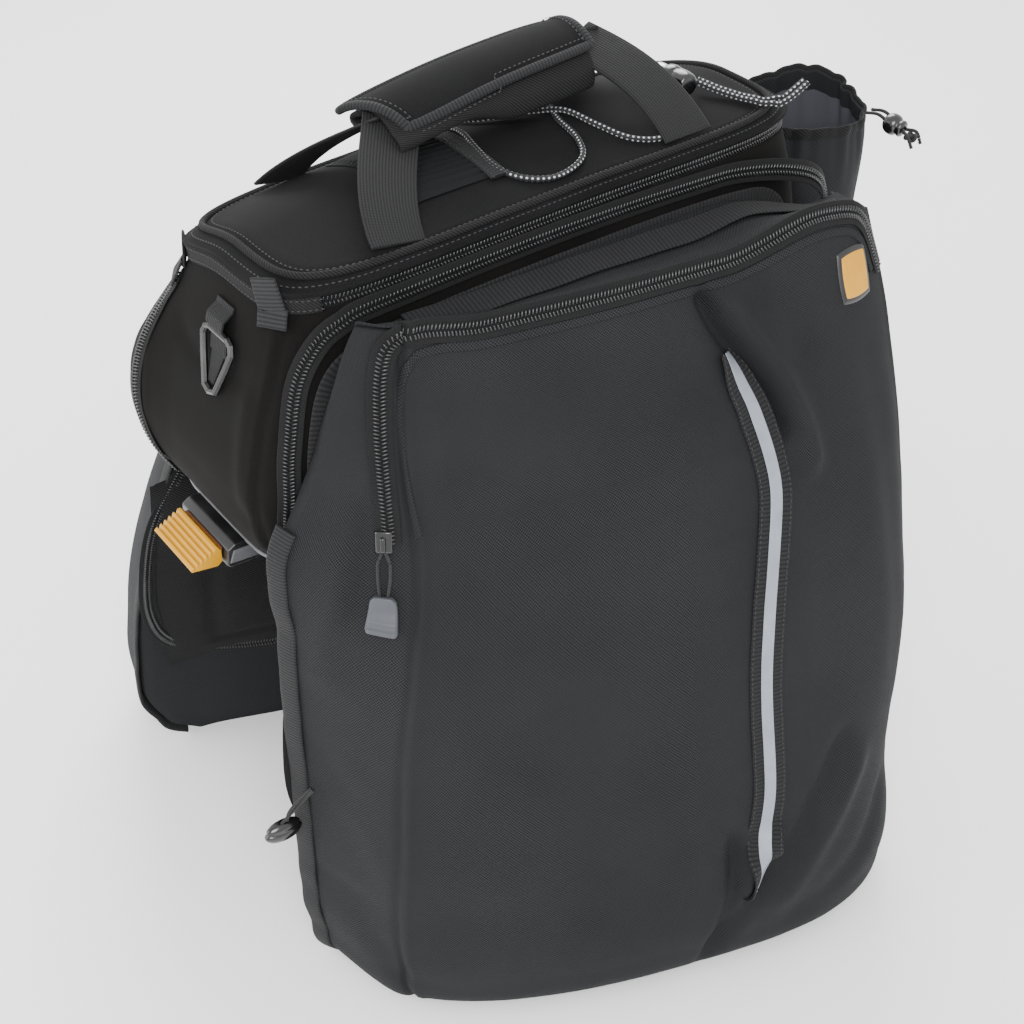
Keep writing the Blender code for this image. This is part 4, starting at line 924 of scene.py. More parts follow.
def stitch_rows(name: str, trails: Sequence[Trail], pitch: float = 0.0034) -> None:
    """Rows of stitches joined into one piece."""
    rows = [stitches(name + "_row", trail, pitch) for trail in trails]
    dress(join(name, rows), STITCHING, "webbing")


def round_cord(name: str, points: Array, diameter: float, sides: int = 10) -> bpy.types.Object:
    """Round cord: a circle carried along the points with a steady frame."""
    tangent = unit(np.gradient(points, axis=0))
    normals = np.broadcast_to(UP, points.shape) + 1e-3
    steep = np.abs(tangent @ UP) > 0.9
    normals = np.where(steep[:, None], np.array([0.3, 1.0, 0.1]), normals)
    return sweep(name, points, normals, round_profile(diameter, diameter, sides, 2.0, -diameter / 2))


def lathe(name: str, start: Array, axis: Array, profile: Sequence[Sequence[float]],
          sides: int = 40) -> bpy.types.Object:
    """Turned solid: each ring has its radius at its distance along the axis.

    Args:
        name: Name of the piece.
        start: Point where the profile begins.
        axis: Direction of the axis.
        profile: Distance and radius pairs, the first and last of radius 0.
        sides: Number of sides.

    Returns:
        The new object.
    """
    axis = unit(np.array(axis, dtype=float))
    other = np.array([0.3, 0.2, 1.0]) if abs(axis[2]) < 0.9 else np.array([1.0, 0.2, 0.0])
    first = unit(np.cross(axis, other))
    second = np.cross(axis, first)
    rings = np.array(profile, dtype=float)
    angle = np.linspace(0.0, 2.0 * math.pi, sides, endpoint=False)
    around = np.cos(angle)[:, None] * first + np.sin(angle)[:, None] * second
    points = np.array(start) + rings[:, :1, None] * axis + rings[:, 1:2, None] * around[None]
    return cloth_grid(name, points, wrap=True)


# Forms


LID_PROFILE = {"height": (0.0, 0.86, 0.905, 0.935, 0.955, 0.975, 0.995, 1.015),
               "rise": (0.360, 0.350, 0.330, 0.270, 0.245, 0.215, 0.130, 0.000)}
SEAM_TABLE = {"height": (0.00, 0.03, 0.10, 0.17, 0.33, 0.51, 0.63, 0.73, 0.84, 0.94, 1.00),
              "front": (0.83, 0.885, 0.907, 0.908, 0.882, 0.842, 0.784, 0.726, 0.695, 0.653, 0.620),
              "rear": (0.84, 0.91, 0.945, 0.960, 0.972, 0.980, 0.982, 0.982, 0.982, 0.975, 0.965)}
EDGE_TABLE = {"height": (0.00, 0.03, 0.08, 0.20, 0.40, 0.60, 0.739, 0.790, 0.844, 0.891, 0.942, 1.00),
              "front": (0.940, 1.000, 1.008, 1.010, 1.010, 1.005, 0.995, 0.930, 0.870, 0.835, 0.785, 0.700),
              "rear": (0.900, 0.970, 1.000, 1.005, 1.010, 1.012, 1.015, 1.018, 1.020, 1.020, 1.015, 1.000)}


@dataclass(frozen=True)
class TrunkForm:
    """Shape of the trunk: a padded box on superellipse plans, taller to the rear, with a crowned lid."""

    length: float = 0.374
    width: float = 0.170
    height: float = 0.168
    rim_slope: float = 0.060
    rim_arch: float = 0.15
    lid_base: float = 0.0081
    lid_height: float = 0.022
    far_lean: float = 0.19
    far_swell: float = 0.013
    far_drop: float = 0.016

    def top_line(self, x: Array) -> Array:
        """Rise of the rim: slope * x - arch * x^2."""
        return self.rim_slope * x - self.rim_arch * x**2

    def reach(self, share: Array | float, x: Array) -> Array:
        """Half length on the side of x."""
        ends = np.where(x < 0.0, column(TRUNK_TABLE, "front", share), column(TRUNK_TABLE, "rear", share))
        return ends * self.length / 2

    def half(self, share: Array | float, y: Array | float = -1.0) -> Array:
        """Half width at a share of the height; the far side leans in towards the lid."""
        high = ease(np.asarray(share, dtype=float), 0.45, 1.0)
        lean = np.where(np.asarray(y) > 0.0, self.far_lean * high, 0.0)
        return column(TRUNK_TABLE, "side", share) * self.width / 2 * (1.0 - lean)

    def swell(self, points: Array, share: Array | float) -> Array:
        """Stuffed far corner of the end: pushed out by swell * sin(pi share) near that corner."""
        weight = ease(points[..., 1], 0.030, 0.080) * ease(-points[..., 0], 0.11, 0.18)
        push = self.far_swell * weight * np.sin(math.pi * np.clip(np.asarray(share) * 1.02, 0.0, 1.0)) ** 0.8
        moved = points + push[..., None] * np.array([-0.55, 0.83, 0.0])
        moved[..., 2] -= self.fall(points[..., 1]) * np.asarray(share) ** 2
        return moved

    def fall(self, y: Array) -> Array:
        """How far the rim and the lid hang lower towards the far side."""
        return self.far_drop * ease(y, -0.010, 0.075)

    def lift(self, x: Array, share: Array | float) -> Array:
        """Height above the tub's underside."""
        return share * (self.height + self.top_line(x))

    def side(self, x: Array, share: Array, side: Side) -> Array:
        """Point of a side wall: y = half * (1 - |x / reach|^c)^(1 / c)."""
        c = column(TRUNK_TABLE, "corner", share)
        ratio = np.clip(1.0 - np.abs(x / self.reach(share, x)) ** c, 0.0, 1.0)
        y = side.value * self.half(share, side.value) * ratio ** (1.0 / c)
        return self.swell(np.stack([x, y, self.lift(x, share)], axis=-1), share)

    def end(self, y: Array, share: Array) -> Array:
        """Point of the end wall on -X: x = -reach * (1 - |y / half|^c)^(1 / c)."""
        c = column(TRUNK_TABLE, "corner", share)
        ratio = np.clip(1.0 - np.abs(y / self.half(share, y)) ** c, 0.0, 1.0)
        x = -column(TRUNK_TABLE, "front", share) * self.length / 2 * ratio ** (1.0 / c)
        return self.swell(np.stack([x, y, self.lift(x, share)], axis=-1), share)

    def loop(self, share: float, count: int, scale: float = 1.0) -> Array:
        """Plan outline at a share of the height, its points evenly spaced."""
        c = float(column(TRUNK_TABLE, "corner", share))
        angle = np.linspace(0.0, 2.0 * math.pi, 6001)
        x = signed_power(np.cos(angle), 2.0 / c)
        y = signed_power(np.sin(angle), 2.0 / c)
        run = np.concatenate([[0.0], np.cumsum(np.hypot(np.diff(x) * self.length / self.width, np.diff(y)))])
        at = np.linspace(0.0, run[-1], count, endpoint=False)
        x, y = np.interp(at, run, x), np.interp(at, run, y)
        x = x * self.reach(share, x) * scale
        points = np.stack([x, y * self.half(share, y) * scale, self.lift(x, share)], axis=1)
        return self.swell(points, share)

    def ratio(self, x: Array, y: Array) -> Array:
        """How far out a point of the lid lies, 1 at the rim."""
        c = TRUNK_TABLE["corner"][-1]
        return (np.abs(x / self.reach(1.0, x)) ** c + np.abs(y / self.half(1.0, y)) ** c) ** (1.0 / c)

    def lid(self, x: Array, y: Array) -> Array:
        """Point of the lid: rim line, shoulder by ratio, and a crown (1 - (x/a)^2)(1 - (y/b)^2)."""
        along = np.clip(1.0 - (x / self.reach(1.0, x)) ** 2, 0.0, 1.0)
        crown = along * np.clip(1.0 - (y / self.half(1.0, y)) ** 2, 0.0, 1.0)
        rise = (column(LID_PROFILE, "rise", self.ratio(x, y)) + 0.34 * crown) * self.lid_height
        slack = 0.00035 * ripple(x, y, 5, 9, 40.0, 160.0)
        z = self.height + self.top_line(x) + self.lid_base + rise + slack - self.fall(y)
        return np.stack([x, y, z], axis=-1)


@dataclass(frozen=True)
class PannierForm:
    """Shape of one pannier: a flat wheel side, two gussets and a full outer face that meet at seams."""

    side: Side
    length: float = 0.380
    depth: float = 0.147
    height: float = 0.448
    back: float = 0.0869
    hem: float = 0.0120
    corner: float = 2.8
    rear_corner: float = 4.0
    sag: float = 0.030
    lean: float = 0.062
    lean_start: float = 0.68
    crest: float = 0.014
    dip: float = 0.012
    rounding: float = 0.018
    tuck: float = 0.024
    drop: float = 0.294
    folds: tuple[Fold, ...] = ()

    def reach(self, share: Array, sign: Array) -> Array:
        """Half length on one side."""
        front = column(PANNIER_TABLE, "front", share) * self.round(share)
        return np.where(sign < 0.0, front, column(PANNIER_TABLE, "rear", share)) * self.length / 2

    def round(self, share: Array) -> Array:
        """Factor of the front: rounded at the lower corner, the far one widely and drawn in higher up."""
        if self.side is Side.NEAR:
            return 1.0 - 0.035 * (1.0 - ease(share, 0.0, 0.16))
        return 1.035 - 0.235 * (1.0 - ease(share, -0.10, 0.16)) - 0.17 * ease(share, 0.25, 0.75)

    def seam(self, share: Array, sign: int) -> Array:
        """Place of the seam between face and gusset."""
        return self.border(SEAM_TABLE, share, sign)

    def edge(self, share: Array, sign: int) -> Array:
        """Place of the gusset's back edge."""
        return self.border(EDGE_TABLE, share, sign)

    def border(self, table: dict[str, tuple[float, ...]], share: Array, sign: int) -> Array:
        """Place of one of a table's lines, in front for a sign of -1."""
        ends = sign * column(table, "front" if sign < 0 else "rear", share) * self.length / 2
        return ends * (self.round(share) if sign < 0 else 1.0)

    def level(self, share: Array) -> Array:
        """Height in the trunk's frame: the far pannier's top sags, the near one's is drawn up by its gusset."""
        if self.side is Side.FAR:
            pull = -self.sag * np.clip((share - 0.6) / 0.4, 0.0, 1.0) ** 2
        else:
            pull = self.crest * ease(share, 0.80, 0.97)
        return share * self.height + pull - self.drop

    def hang(self, x: Array, share: Array) -> Array:
        """How far the pannier leans out; only the far one does, most at its front."""
        t = np.clip((self.lean_start - share) / self.lean_start, 0.0, 1.0)
        t = t * (1.0 - 0.55 * ease(x, -0.17, -0.04))
        return self.lean * t if self.side is Side.FAR else 0.0 * t

    def plain(self, x: Array, share: Array) -> Array:
        """Point of the outer skin: y = out * (1 + skew a)(1 - |a|^c)^(1/c) on the face, chords on the gussets."""
        low, high = self.seam(share, -1), self.seam(share, 1)
        within = np.clip(x, low, high)
        reach = self.reach(share, within) * np.where(within > 0.0, 1.025, 1.0)
        across = np.clip(within / reach, -0.999, 0.999)
        out = column(PANNIER_TABLE, "depth", share) * self.depth - self.hem
        squarer = (self.rear_corner - self.corner) * ease(across, 0.0, 0.6) * ease(share, 0.22, 0.50)
        corner = self.corner + squarer
        bulge = np.clip(1.0 - np.abs(across) ** corner, 0.0, 1.0) ** (1.0 / corner)
        y = self.hem + out * (1.0 + column(PANNIER_TABLE, "skew", share) * across) * bulge
        front = np.clip((low - x) / (low - self.edge(share, -1)), 0.0, 1.0)
        rear = np.clip((x - high) / (self.edge(share, 1) - high), 0.0, 1.0)
        t = np.maximum(front, rear)
        belly = np.where(rear > 0.0, 0.006, 0.004 + 0.012 * (1.0 - ease(share, 0.04, 0.22)))
        y = y + (self.hem - 0.003 - y) * t + belly * np.sin(math.pi * t)
        mouth = 1.0 - ease(np.abs(x + 0.005), 0.070, 0.135)
        z = self.level(share) - self.dip * mouth * ease(share, 0.78, 1.0)
        z = z - self.rounding * ease(x, 0.160, 0.196) * ease(share, 0.84, 0.98)
        return np.stack([x, self.side.value * (self.back + self.hang(x, share) + y), z], axis=-1)

    def relief(self, x: Array, z: Array, share: Array) -> Array:
        """Folds and slack of the cloth, in metres outward."""
        total = 0.0011 * ripple(x, z, 11 + self.side.value, 9, 18.0, 60.0)
        total = total + 0.00035 * ripple(x, z, 31 + self.side.value, 11, 90.0, 260.0)
        for fold in self.folds:
            total = total + fold.height(x, z)
        for sign in (-1, 1):
            off = x - self.seam(share, sign)
            total = total - 0.0020 * bump(off, 0.0016) + 0.0012 * bump(off + 0.0038 * sign, 0.0020)
        return total * ease(share, 0.0, 0.05)

    def skin(self, x: Array, share: Array) -> Array:
        """Point of the outer skin with its folds."""
        x, share = np.broadcast_arrays(np.asarray(x, dtype=float), np.asarray(share, dtype=float))
        base = self.plain(x, share)
        facing = np.array([0.0, self.side.value, 0.0])
        normal = surface_normal(self.plain, x, share, facing, 2e-3)
        return base + normal * self.relief(x, base[..., 2], share)[..., None]

    def at(self, a: Array, b: Array) -> Array:
        """Skin by shares: a of the half length, b of the height."""
        return self.skin(a * self.length / 2, b)

    def wheel(self, x: Array, z: Array) -> Array:
        """Point of the flat wheel side at x and z."""
        share = np.clip((z + self.drop) / self.height, 0.0, 1.0)
        sag = 0.0012 * ripple(x, z, 71 + self.side.value, 7, 20.0, 90.0)
        return np.stack([x, self.side.value * (self.back + self.hang(x, share) + sag), z], axis=-1)


# Sub-assemblies


ARCH_ZIP = ((-0.920, 0.080), (-0.952, 0.240), (-0.948, 0.380), (-0.932, 0.540), (-0.885, 0.760),
            (-0.820, 0.885), (-0.740, 0.945), (-0.600, 0.972), (0.000, 0.972), (0.550, 0.955), (0.800, 0.925),
            (0.920, 0.830), (0.950, 0.660), (0.950, 0.400))
ARCH_LEG = ((0.046, 0.060), (0.058, 0.20), (0.0615, 0.42), (0.0600, 0.62), (0.0550, 0.80), (0.0490, 0.90))
ARCH_TAPE = ((-0.800, 0.120), (-0.850, 0.350), (-0.840, 0.550), (-0.790, 0.740), (-0.700, 0.820),
             (-0.550, 0.845), (0.000, 0.850), (0.600, 0.840), (0.800, 0.780), (0.850, 0.600), (0.850, 0.350))


@dataclass
class Trunk:
    """Padded main bag: tub, lid, piping, zips, hinge and the stow pockets' arches."""

    form: TrunkForm = field(default_factory=TrunkForm)
    rim_band: float = 0.0075
    piping: float = 0.0042
    hinge: Tape = Tape(0.0100, 0.0022, 3.0)
    stop: Tape = Tape(0.019, 0.0018, 4.0)
    knit: Tape = Tape(0.017, 0.0018, 4.0)
    outline: int = 1200

    def tub(self) -> None:
        """Tub as a grid of plan loops, with its end seams and slack, closed below and above."""
        shares = np.linspace(0.0, 1.0, 110)
        loops = np.array([self.form.loop(float(share), 380) for share in shares])
        x, y, z = loops[..., 0], loops[..., 1], loops[..., 2]
        share = np.broadcast_to(shares[:, None], x.shape)
        around = np.roll(loops, -1, axis=1) - np.roll(loops, 1, axis=1)
        normal = unit(np.cross(around, np.gradient(loops, axis=0)))
        away = loops - loops.mean(axis=1, keepdims=True)
        normal = normal * np.sign(np.sum(normal * away, axis=-1, keepdims=True))
        front = ease(-normal[..., 0], 0.25, 0.7)
        rise = 0.0007 * ripple(y, z, 3, 9, 30.0, 90.0) * front
        rise += 0.0005 * ripple(x, z, 4, 9, 20.0, 90.0) * (1.0 - front)
        for seam in (-0.0665, 0.0665):
            line = seam + 0.006 * (share - 0.5)
            beside = y - line + 0.005 * np.sign(seam)
            rise += front * (-0.0016 * bump(y - line, 0.0018) + 0.0008 * bump(beside, 0.003))
        droop = Fold(((-0.055, 0.118), (-0.030, 0.108), (0.010, 0.104), (0.045, 0.112)), -0.0012, 0.007)
        dent = Fold(((-0.060, 0.035), (-0.052, 0.075), (-0.050, 0.115)), 0.0016, 0.008)
        rise += front * (droop.height(y, z) + dent.height(y, z))
        rise += -0.0020 * bump(share - 0.03, 0.02) * (1.0 - front)
        rise = rise * ease(share, 0.0, 0.04) * ease(1.0 - share, 0.0, 0.03)
        points = loops + normal * rise[..., None]
        floor = [narrowed(points[:1], s) + UP * 0.0005 for s in (0.0, 0.4, 0.8, 0.96)]
        cap = [narrowed(points[-1:], s) for s in (0.97, 0.6, 0.0)]
        body = cloth_grid("trunk_shell", np.concatenate(floor + [points] + cap), wrap=True)
        dress(body, SOFT_SHELL, "cloth", "trunk_tub")

    def lid(self) -> None:
        """Lid as a grid over plan loops: outer band, shoulder and crown, closed below."""
        scales = np.concatenate([np.linspace(1.013, 0.84, 60), np.linspace(0.82, 0.02, 60), [0.0]])
        rim = self.form.loop(1.0, 380)
        x, y = rim[None, :, 0] * scales[:, None], rim[None, :, 1] * scales[:, None]
        top = self.form.lid(x, y)
        lower = narrowed(rim, 1.008)
        lower[:, 2] = (self.form.height + self.form.top_line(lower[:, 0]) + self.form.lid_base
                       - self.form.fall(lower[:, 1]))
        bands = [narrowed(lower, s) for s in (0.0, 0.5, 0.9)]
        under = np.stack(bands + [lower, (lower + top[0]) / 2 + (lower - lower.mean(axis=0)) * 0.004])
        points = np.concatenate([under, top])
        lid = dress(cloth_grid("lid_shell", points, wrap=True), LID_SHELL, "cloth", "trunk_lid")
        edge = self.ring(0.945, 420)
        cord = round_profile(self.piping, self.piping, 10, 2.0, -0.0009)
        piping = sweep("lid_piping_cord", edge.points, edge.normals, cord, True)
        dress(piping, TWILL_CLOTH, "webbing", "lid_piping")
        stitch_rows("lid_piping_stitches", [self.ring(scale, 420) for scale in (0.915, 0.984)])

    def ring(self, scale: float, count: int) -> Trail:
        """Closed trail on the lid at a share of its outline."""
        loop = self.form.loop(1.0, count, scale)
        points = self.form.lid(loop[:, 0], loop[:, 1])
        return Trail(points, surface_normal(self.form.lid, loop[:, 0], loop[:, 1], UP, 5e-4), True)

    def wall_band(self, first: float, last: float, count: int, inset: float, height: float) -> Trail:
        """Trail along the slot between tub and lid, from one share of the loop to another."""
        loop = self.form.loop(1.0, self.outline)
        loop = loop * np.array([1.0 - inset / 0.17, 1.0 - inset / 0.08, 1.0])
        steps = np.linspace(first, last, count) * self.outline
        low = np.floor(steps).astype(int)
        part = (steps - low)[:, None]
        points = loop[low % self.outline] * (1.0 - part) + loop[(low + 1) % self.outline] * part
        points[:, 2] = (self.form.height + self.form.top_line(points[:, 0]) + height
                        - self.form.fall(points[:, 1]))
        tangent = unit(np.gradient(points, axis=0))
        out = np.cross(tangent, UP)
        out = out * np.sign(np.sum(out * points * LEVEL, axis=1, keepdims=True))
        return Trail(points, unit(out))

    def closure(self) -> None:
        """Lid zip round three sides, the stitched cloth hinge and the ribbed zip stops."""
        middle = self.rim_band / 2 + 0.0003
        line = self.wall_band(-0.415, 0.415, 900, 0.0015, middle)
        Zip("lid_zip", line, width=0.0105, row=0.0031).build("lid_zip")
        strip = self.wall_band(0.414, 0.586, 120, 0.0006, middle)
        lay("hinge_cloth", strip, self.hinge, TWILL_CLOTH, "lid_hinge")
        stitch_rows("hinge_stitches", [strip.moved(shift, 0.0022) for shift in (-0.0028, 0.0028)], 0.0030)
        heights = np.array([1.115, 1.075, 1.03, 0.985, 0.945])
        for side, drop in ((Side.NEAR, 0.0), (Side.FAR, 0.055)):
            places = np.linspace(0.051, 0.058, 5) - 0.12 * drop
            route = [(side.value * y, height - drop) for y, height in zip(places, heights)]
            trail = Trail.on(self.form.end, route, 40, FRONT, 0.0016)
            lay("zip_stop_webbing_" + side.word, trail, self.stop, STOP_WEBBING, "zip_stop_" + side.word)

    def arches(self, side: Side) -> None:
        """Zip arch and ribbed knit tape round one stow pocket."""
        def wall(a: Array, b: Array) -> Array:
            """Side wall by shares of the half length and the height."""
            return self.form.side(a * self.form.length / 2, b, side)

        facing = np.array([0.0, float(side.value), 0.0])
        trail = Trail.on(wall, ARCH_ZIP, 500, facing, 0.0006)
        rear = np.array([0.014, side.value * 0.013, -0.004])
        trail.points += ease(trail.points[:, :1], 0.110, 0.172) * rear
        if side is Side.FAR:
            leg = Trail.on(self.form.end, ARCH_LEG, 140, FRONT, 0.0004)
            over = Trail.on(wall, ARCH_ZIP[6:], 360, facing, 0.0006)
            points = np.vstack([leg.points, over.points[12:]])
            trail = Trail(points, np.vstack([leg.normals, over.normals[12:]])).resampled(500)
        Zip("arch_zip_" + side.word, trail, row=0.0032).build("side_zip_" + side.word)
        lay("knit_tape_" + side.word, Trail.on(wall, ARCH_TAPE, 260, facing, 0.0008), self.knit, KNIT_TAPE,
            "side_tape_" + side.word)

    def build(self) -> None:
        """Make every piece of the trunk."""
        self.tub()
        self.lid()
        self.closure()
        for side in Side:
            self.arches(side)


FACE_ZIP = ((-0.775, 0.755), (-0.762, 0.785), (-0.745, 0.840), (-0.735, 0.875), (-0.715, 0.925), (-0.680, 0.957),
            (-0.600, 0.971), (-0.450, 0.976), (0.000, 0.976), (0.500, 0.976), (0.750, 0.973), (0.880, 0.952),
            (0.935, 0.900))
WELT = ((-0.700, 0.760), (-0.690, 0.840), (-0.670, 0.900), (-0.630, 0.938), (-0.560, 0.951), (-0.450, 0.955),
        (0.000, 0.955), (0.500, 0.955), (0.750, 0.952), (0.850, 0.935), (0.890, 0.900))
STRIPE = ((0.304, 0.878), (0.330, 0.842), (0.360, 0.800), (0.378, 0.719), (0.340, 0.645), (0.300, 0.574),
          (0.260, 0.464), (0.238, 0.312), (0.203, 0.237), (0.165, 0.140))
COVER_ZIP = ((-0.166, -0.026), (-0.186, -0.066), (-0.193, -0.112), (-0.192, -0.150), (-0.180, -0.180),
             (-0.152, -0.201), (-0.106, -0.213), (0.0, -0.215), (0.118, -0.209), (0.150, -0.198),
             (0.165, -0.165), (0.166, -0.110), (0.160, -0.034))
GUSSET_TABLE = {"height": (-0.735, -0.71, -0.66, -0.58, -0.45, 0.5, 0.75, 0.88, 0.93, 0.955),
                "rise": (0.83, 0.925, 0.955, 0.970, 0.975, 0.976, 0.978, 0.972, 0.955, 0.93)}
NEAR_FOLDS = (
    Fold(((0.046, 0.140), (0.051, 0.129), (0.058, 0.112), (0.070, 0.092), (0.081, 0.070), (0.088, 0.045)),
         -0.0110, 0.0052, taper=0.12),
    Fold(((0.055, 0.138), (0.064, 0.124), (0.076, 0.104), (0.090, 0.079), (0.098, 0.048), (0.097, 0.018)),
         0.0095, 0.0080, taper=0.15),
    Fold(((0.070, 0.138), (0.090, 0.122), (0.106, 0.104), (0.116, 0.075)), -0.0030, 0.0100),
    Fold(((0.034, 0.140), (0.040, 0.115), (0.052, 0.085), (0.060, 0.060)), 0.0020, 0.0090),
    Fold(((0.020, -0.170), (0.019, -0.215), (0.012, -0.245), (0.002, -0.270), (-0.006, -0.286)), -0.0070, 0.0055),
    Fold(((0.052, -0.190), (0.040, -0.220), (0.022, -0.245), (0.004, -0.272)), -0.0055, 0.0050),
    Fold(((0.048, -0.180), (0.032, -0.210), (0.020, -0.235)), 0.0045, 0.0055),
    Fold(((0.110, -0.130), (0.085, -0.170), (0.057, -0.207), (0.030, -0.235)), -0.0050, 0.0075),
    Fold(((0.125, -0.150), (0.098, -0.188), (0.066, -0.222), (0.036, -0.250)), 0.0050, 0.0095),
    Fold(((0.160, -0.190), (0.125, -0.225), (0.086, -0.248), (0.040, -0.262)), -0.0032, 0.0090),
    Fold(((0.150, 0.100), (0.158, 0.030), (0.160, -0.060), (0.150, -0.150)), -0.0016, 0.0110),
    Fold(((-0.110, 0.122), (-0.112, 0.090), (-0.120, 0.060), (-0.128, 0.030)), 0.0014, 0.0080),
    Fold(((-0.150, 0.075), (-0.160, 0.030), (-0.172, -0.015)), -0.0026, 0.0060),
    Fold(((-0.168, 0.045), (-0.178, 0.000), (-0.186, -0.060)), 0.0026, 0.0060),
    Fold(((-0.188, -0.080), (-0.182, -0.140), (-0.176, -0.200), (-0.172, -0.250)), -0.0022, 0.0055),
    Fold(((-0.186, -0.190), (-0.180, -0.230), (-0.168, -0.268)), -0.0026, 0.0060),
    Fold(((-0.183, -0.120), (-0.176, -0.180), (-0.175, -0.240)), 0.0018, 0.0050),
)
FAR_FOLDS = (
    Fold(((0.046, 0.120), (0.057, 0.090), (0.075, 0.060), (0.088, 0.030)), -0.0050, 0.0080),
    Fold(((0.060, 0.120), (0.080, 0.085), (0.098, 0.045), (0.098, 0.010)), 0.0040, 0.0110),
    Fold(((0.020, -0.180), (0.012, -0.245), (-0.004, -0.285)), -0.0040, 0.0070),
    Fold(((0.110, -0.140), (0.066, -0.215), (0.030, -0.250)), 0.0034, 0.0100),
    Fold(((-0.150, 0.060), (-0.165, 0.000), (-0.175, -0.060)), -0.0022, 0.0070),
)


@dataclass
class Pannier:
    """One folded-out pannier with its top gusset, face zip and pull, stripe, patch, binding and stow cover."""

    side: Side
    rows: int = 190
    face_columns: int = 230
    top: float = 0.973
    cord: float = 0.0019
    knit: Tape = Tape(0.0165, 0.0012, 4.0)
    welt: Tape = Tape(0.0050, 0.0013, 2.2)
    slider: Tape = Tape(0.0095, 0.0030, 3.0)
    bridge: Tape = Tape(0.0030, 0.0022, 2.2)
    ground: Tape = Tape(0.0225, 0.0011, 6.0)
    stripe: Tape = Tape(0.0080, 0.0006, 6.0)
    edging: Tape = Tape(0.0135, 0.0030, 2.6)

    def __post_init__(self) -> None:
        """Work out the form and the way the face shows."""
        folds = NEAR_FOLDS if self.side is Side.NEAR else FAR_FOLDS
        self.form = PannierForm(self.side, folds=folds)
        self.out = np.array([0.0, float(self.side.value), 0.0])

    def name(self, piece: str) -> str:
        """Name of a piece of this pannier."""
        return piece + "_" + self.side.word

    def shell(self) -> None:
        """Closed skin: each row runs over front gusset, face and rear gusset, and back along the wheel side."""
        share = np.linspace(0.0, self.top, self.rows)[:, None]
        edges = [self.form.edge(share, -1), self.form.seam(share, -1), self.form.seam(share, 1),
                 self.form.edge(share, 1)]
        counts = (46, self.face_columns, 26)
        spans = [a + (b - a) * np.linspace(0.0, 1.0, n, endpoint=False)[None, :]
                 for a, b, n in zip(edges, edges[1:], counts)]
        x = np.concatenate(spans + [edges[-1]], axis=1)
        skin = self.form.skin(x, np.broadcast_to(share, x.shape))
        t = np.linspace(1.0, 0.0, 50)[None, :]
        back_x = edges[0] + (edges[3] - edges[0]) * t
        tucked = self.form.level(share) - self.form.tuck * ease(share, 0.80, self.top)
        back = self.form.wheel(back_x, np.broadcast_to(tucked, back_x.shape))
        loops = np.concatenate([skin, back], axis=1)
        middle = loops.mean(axis=1, keepdims=True)
        floor = [middle[:1] + (loops[:1] - middle[:1]) * s + UP * (0.002 * (1.0 - s))
                 for s in (0.0, 0.3, 0.6, 0.85, 0.96)]
        cap = [middle[-1:] + (loops[-1:] - middle[-1:]) * s - UP * (0.010 * (1.0 - s))
               for s in (0.95, 0.6, 0.0)]
        body = cloth_grid(self.name("pannier_skin"), np.concatenate(floor + [loops] + cap), wrap=True)
        dress(body, PACK_CLOTH, "cloth", self.name("pannier"))

    def gusset(self) -> None:
        """Top panel, nearly level, from the arch zip to the face zip, and the knit strip along it."""
        a = np.linspace(-0.735, 0.955, 240)[:, None]
        x = a * self.form.length / 2
        zip_line = self.form.at(a, column(GUSSET_TABLE, "rise", a))[:, 0]
        x = x[:, 0]
        front = ease(-x, 0.105, 0.150) * (0.155 - zip_line[:, 2] + 0.12)
        arch = 0.1590 + 0.035 * x - 0.16 * x**2 - 0.10 * front
        if self.side is Side.FAR:
            arch = np.minimum(arch, zip_line[:, 2] + 0.020)
        shift = ease(x, 0.105, 0.165)
        y = float(self.side.value) * (0.0845 + 0.015 * shift)
        root = np.stack([x + 0.010 * shift, y, arch - 0.010 - 0.014 * shift], axis=1)
        inner = root + (zip_line - root) * 0.44 - UP * 0.0040
        ridge = root + (zip_line - root) * 0.80 + UP * 0.0012
        lines = np.stack([root, inner, ridge, zip_line], axis=1)
        t = np.linspace(0.0, 3.0, 34)
        low = np.clip(np.floor(t).astype(int), 0, 2)
        part = (t - low)[None, :, None]
        points = catmull(*(lines[:, np.clip(low + k, 0, 3)] for k in (-1, 0, 1, 2)), part)
        slack = 0.0016 * ripple(points[..., 0], points[..., 1] * 2.0, 53, 9, 40.0, 150.0)
        points[..., 2] += slack * np.sin(math.pi * np.clip(t / 3.0, 0.0, 1.0))[None, :]
        sheet = cloth_grid(self.name("top_gusset"), points, facing=UP, thickness=0.0012)
        dress(sheet, GUSSET_CLOTH, "cloth", self.name("pannier_top"))
        self.name("pannier_skin")
        normals = np.cross(np.gradient(points, axis=0), np.gradient(points, axis=1))[24:, 7]
        normals = unit(normals * np.sign(normals[:, 2:]))
        strip = Trail(points[24:, 7] + normals * 0.0018, normals).resampled(200)
        lay(self.name("recess_knit"), strip, self.knit, KNIT_TAPE)

    def closures(self) -> None:
        """Face zip, the welt beside it, its slider, cord loop and rubber tab."""
        line = Trail.on(self.form.at, FACE_ZIP, 560, self.out, 0.0005)
        Zip(self.name("face_zip"), line, width=0.0135, row=0.0034).build(self.name("pannier_zip"))
        line = Trail.on(self.form.at, WELT, 300, self.out, -0.0002)
        lay(self.name("face_welt"), line, self.welt, PACK_CLOTH, slot="cloth")
        self.pull()

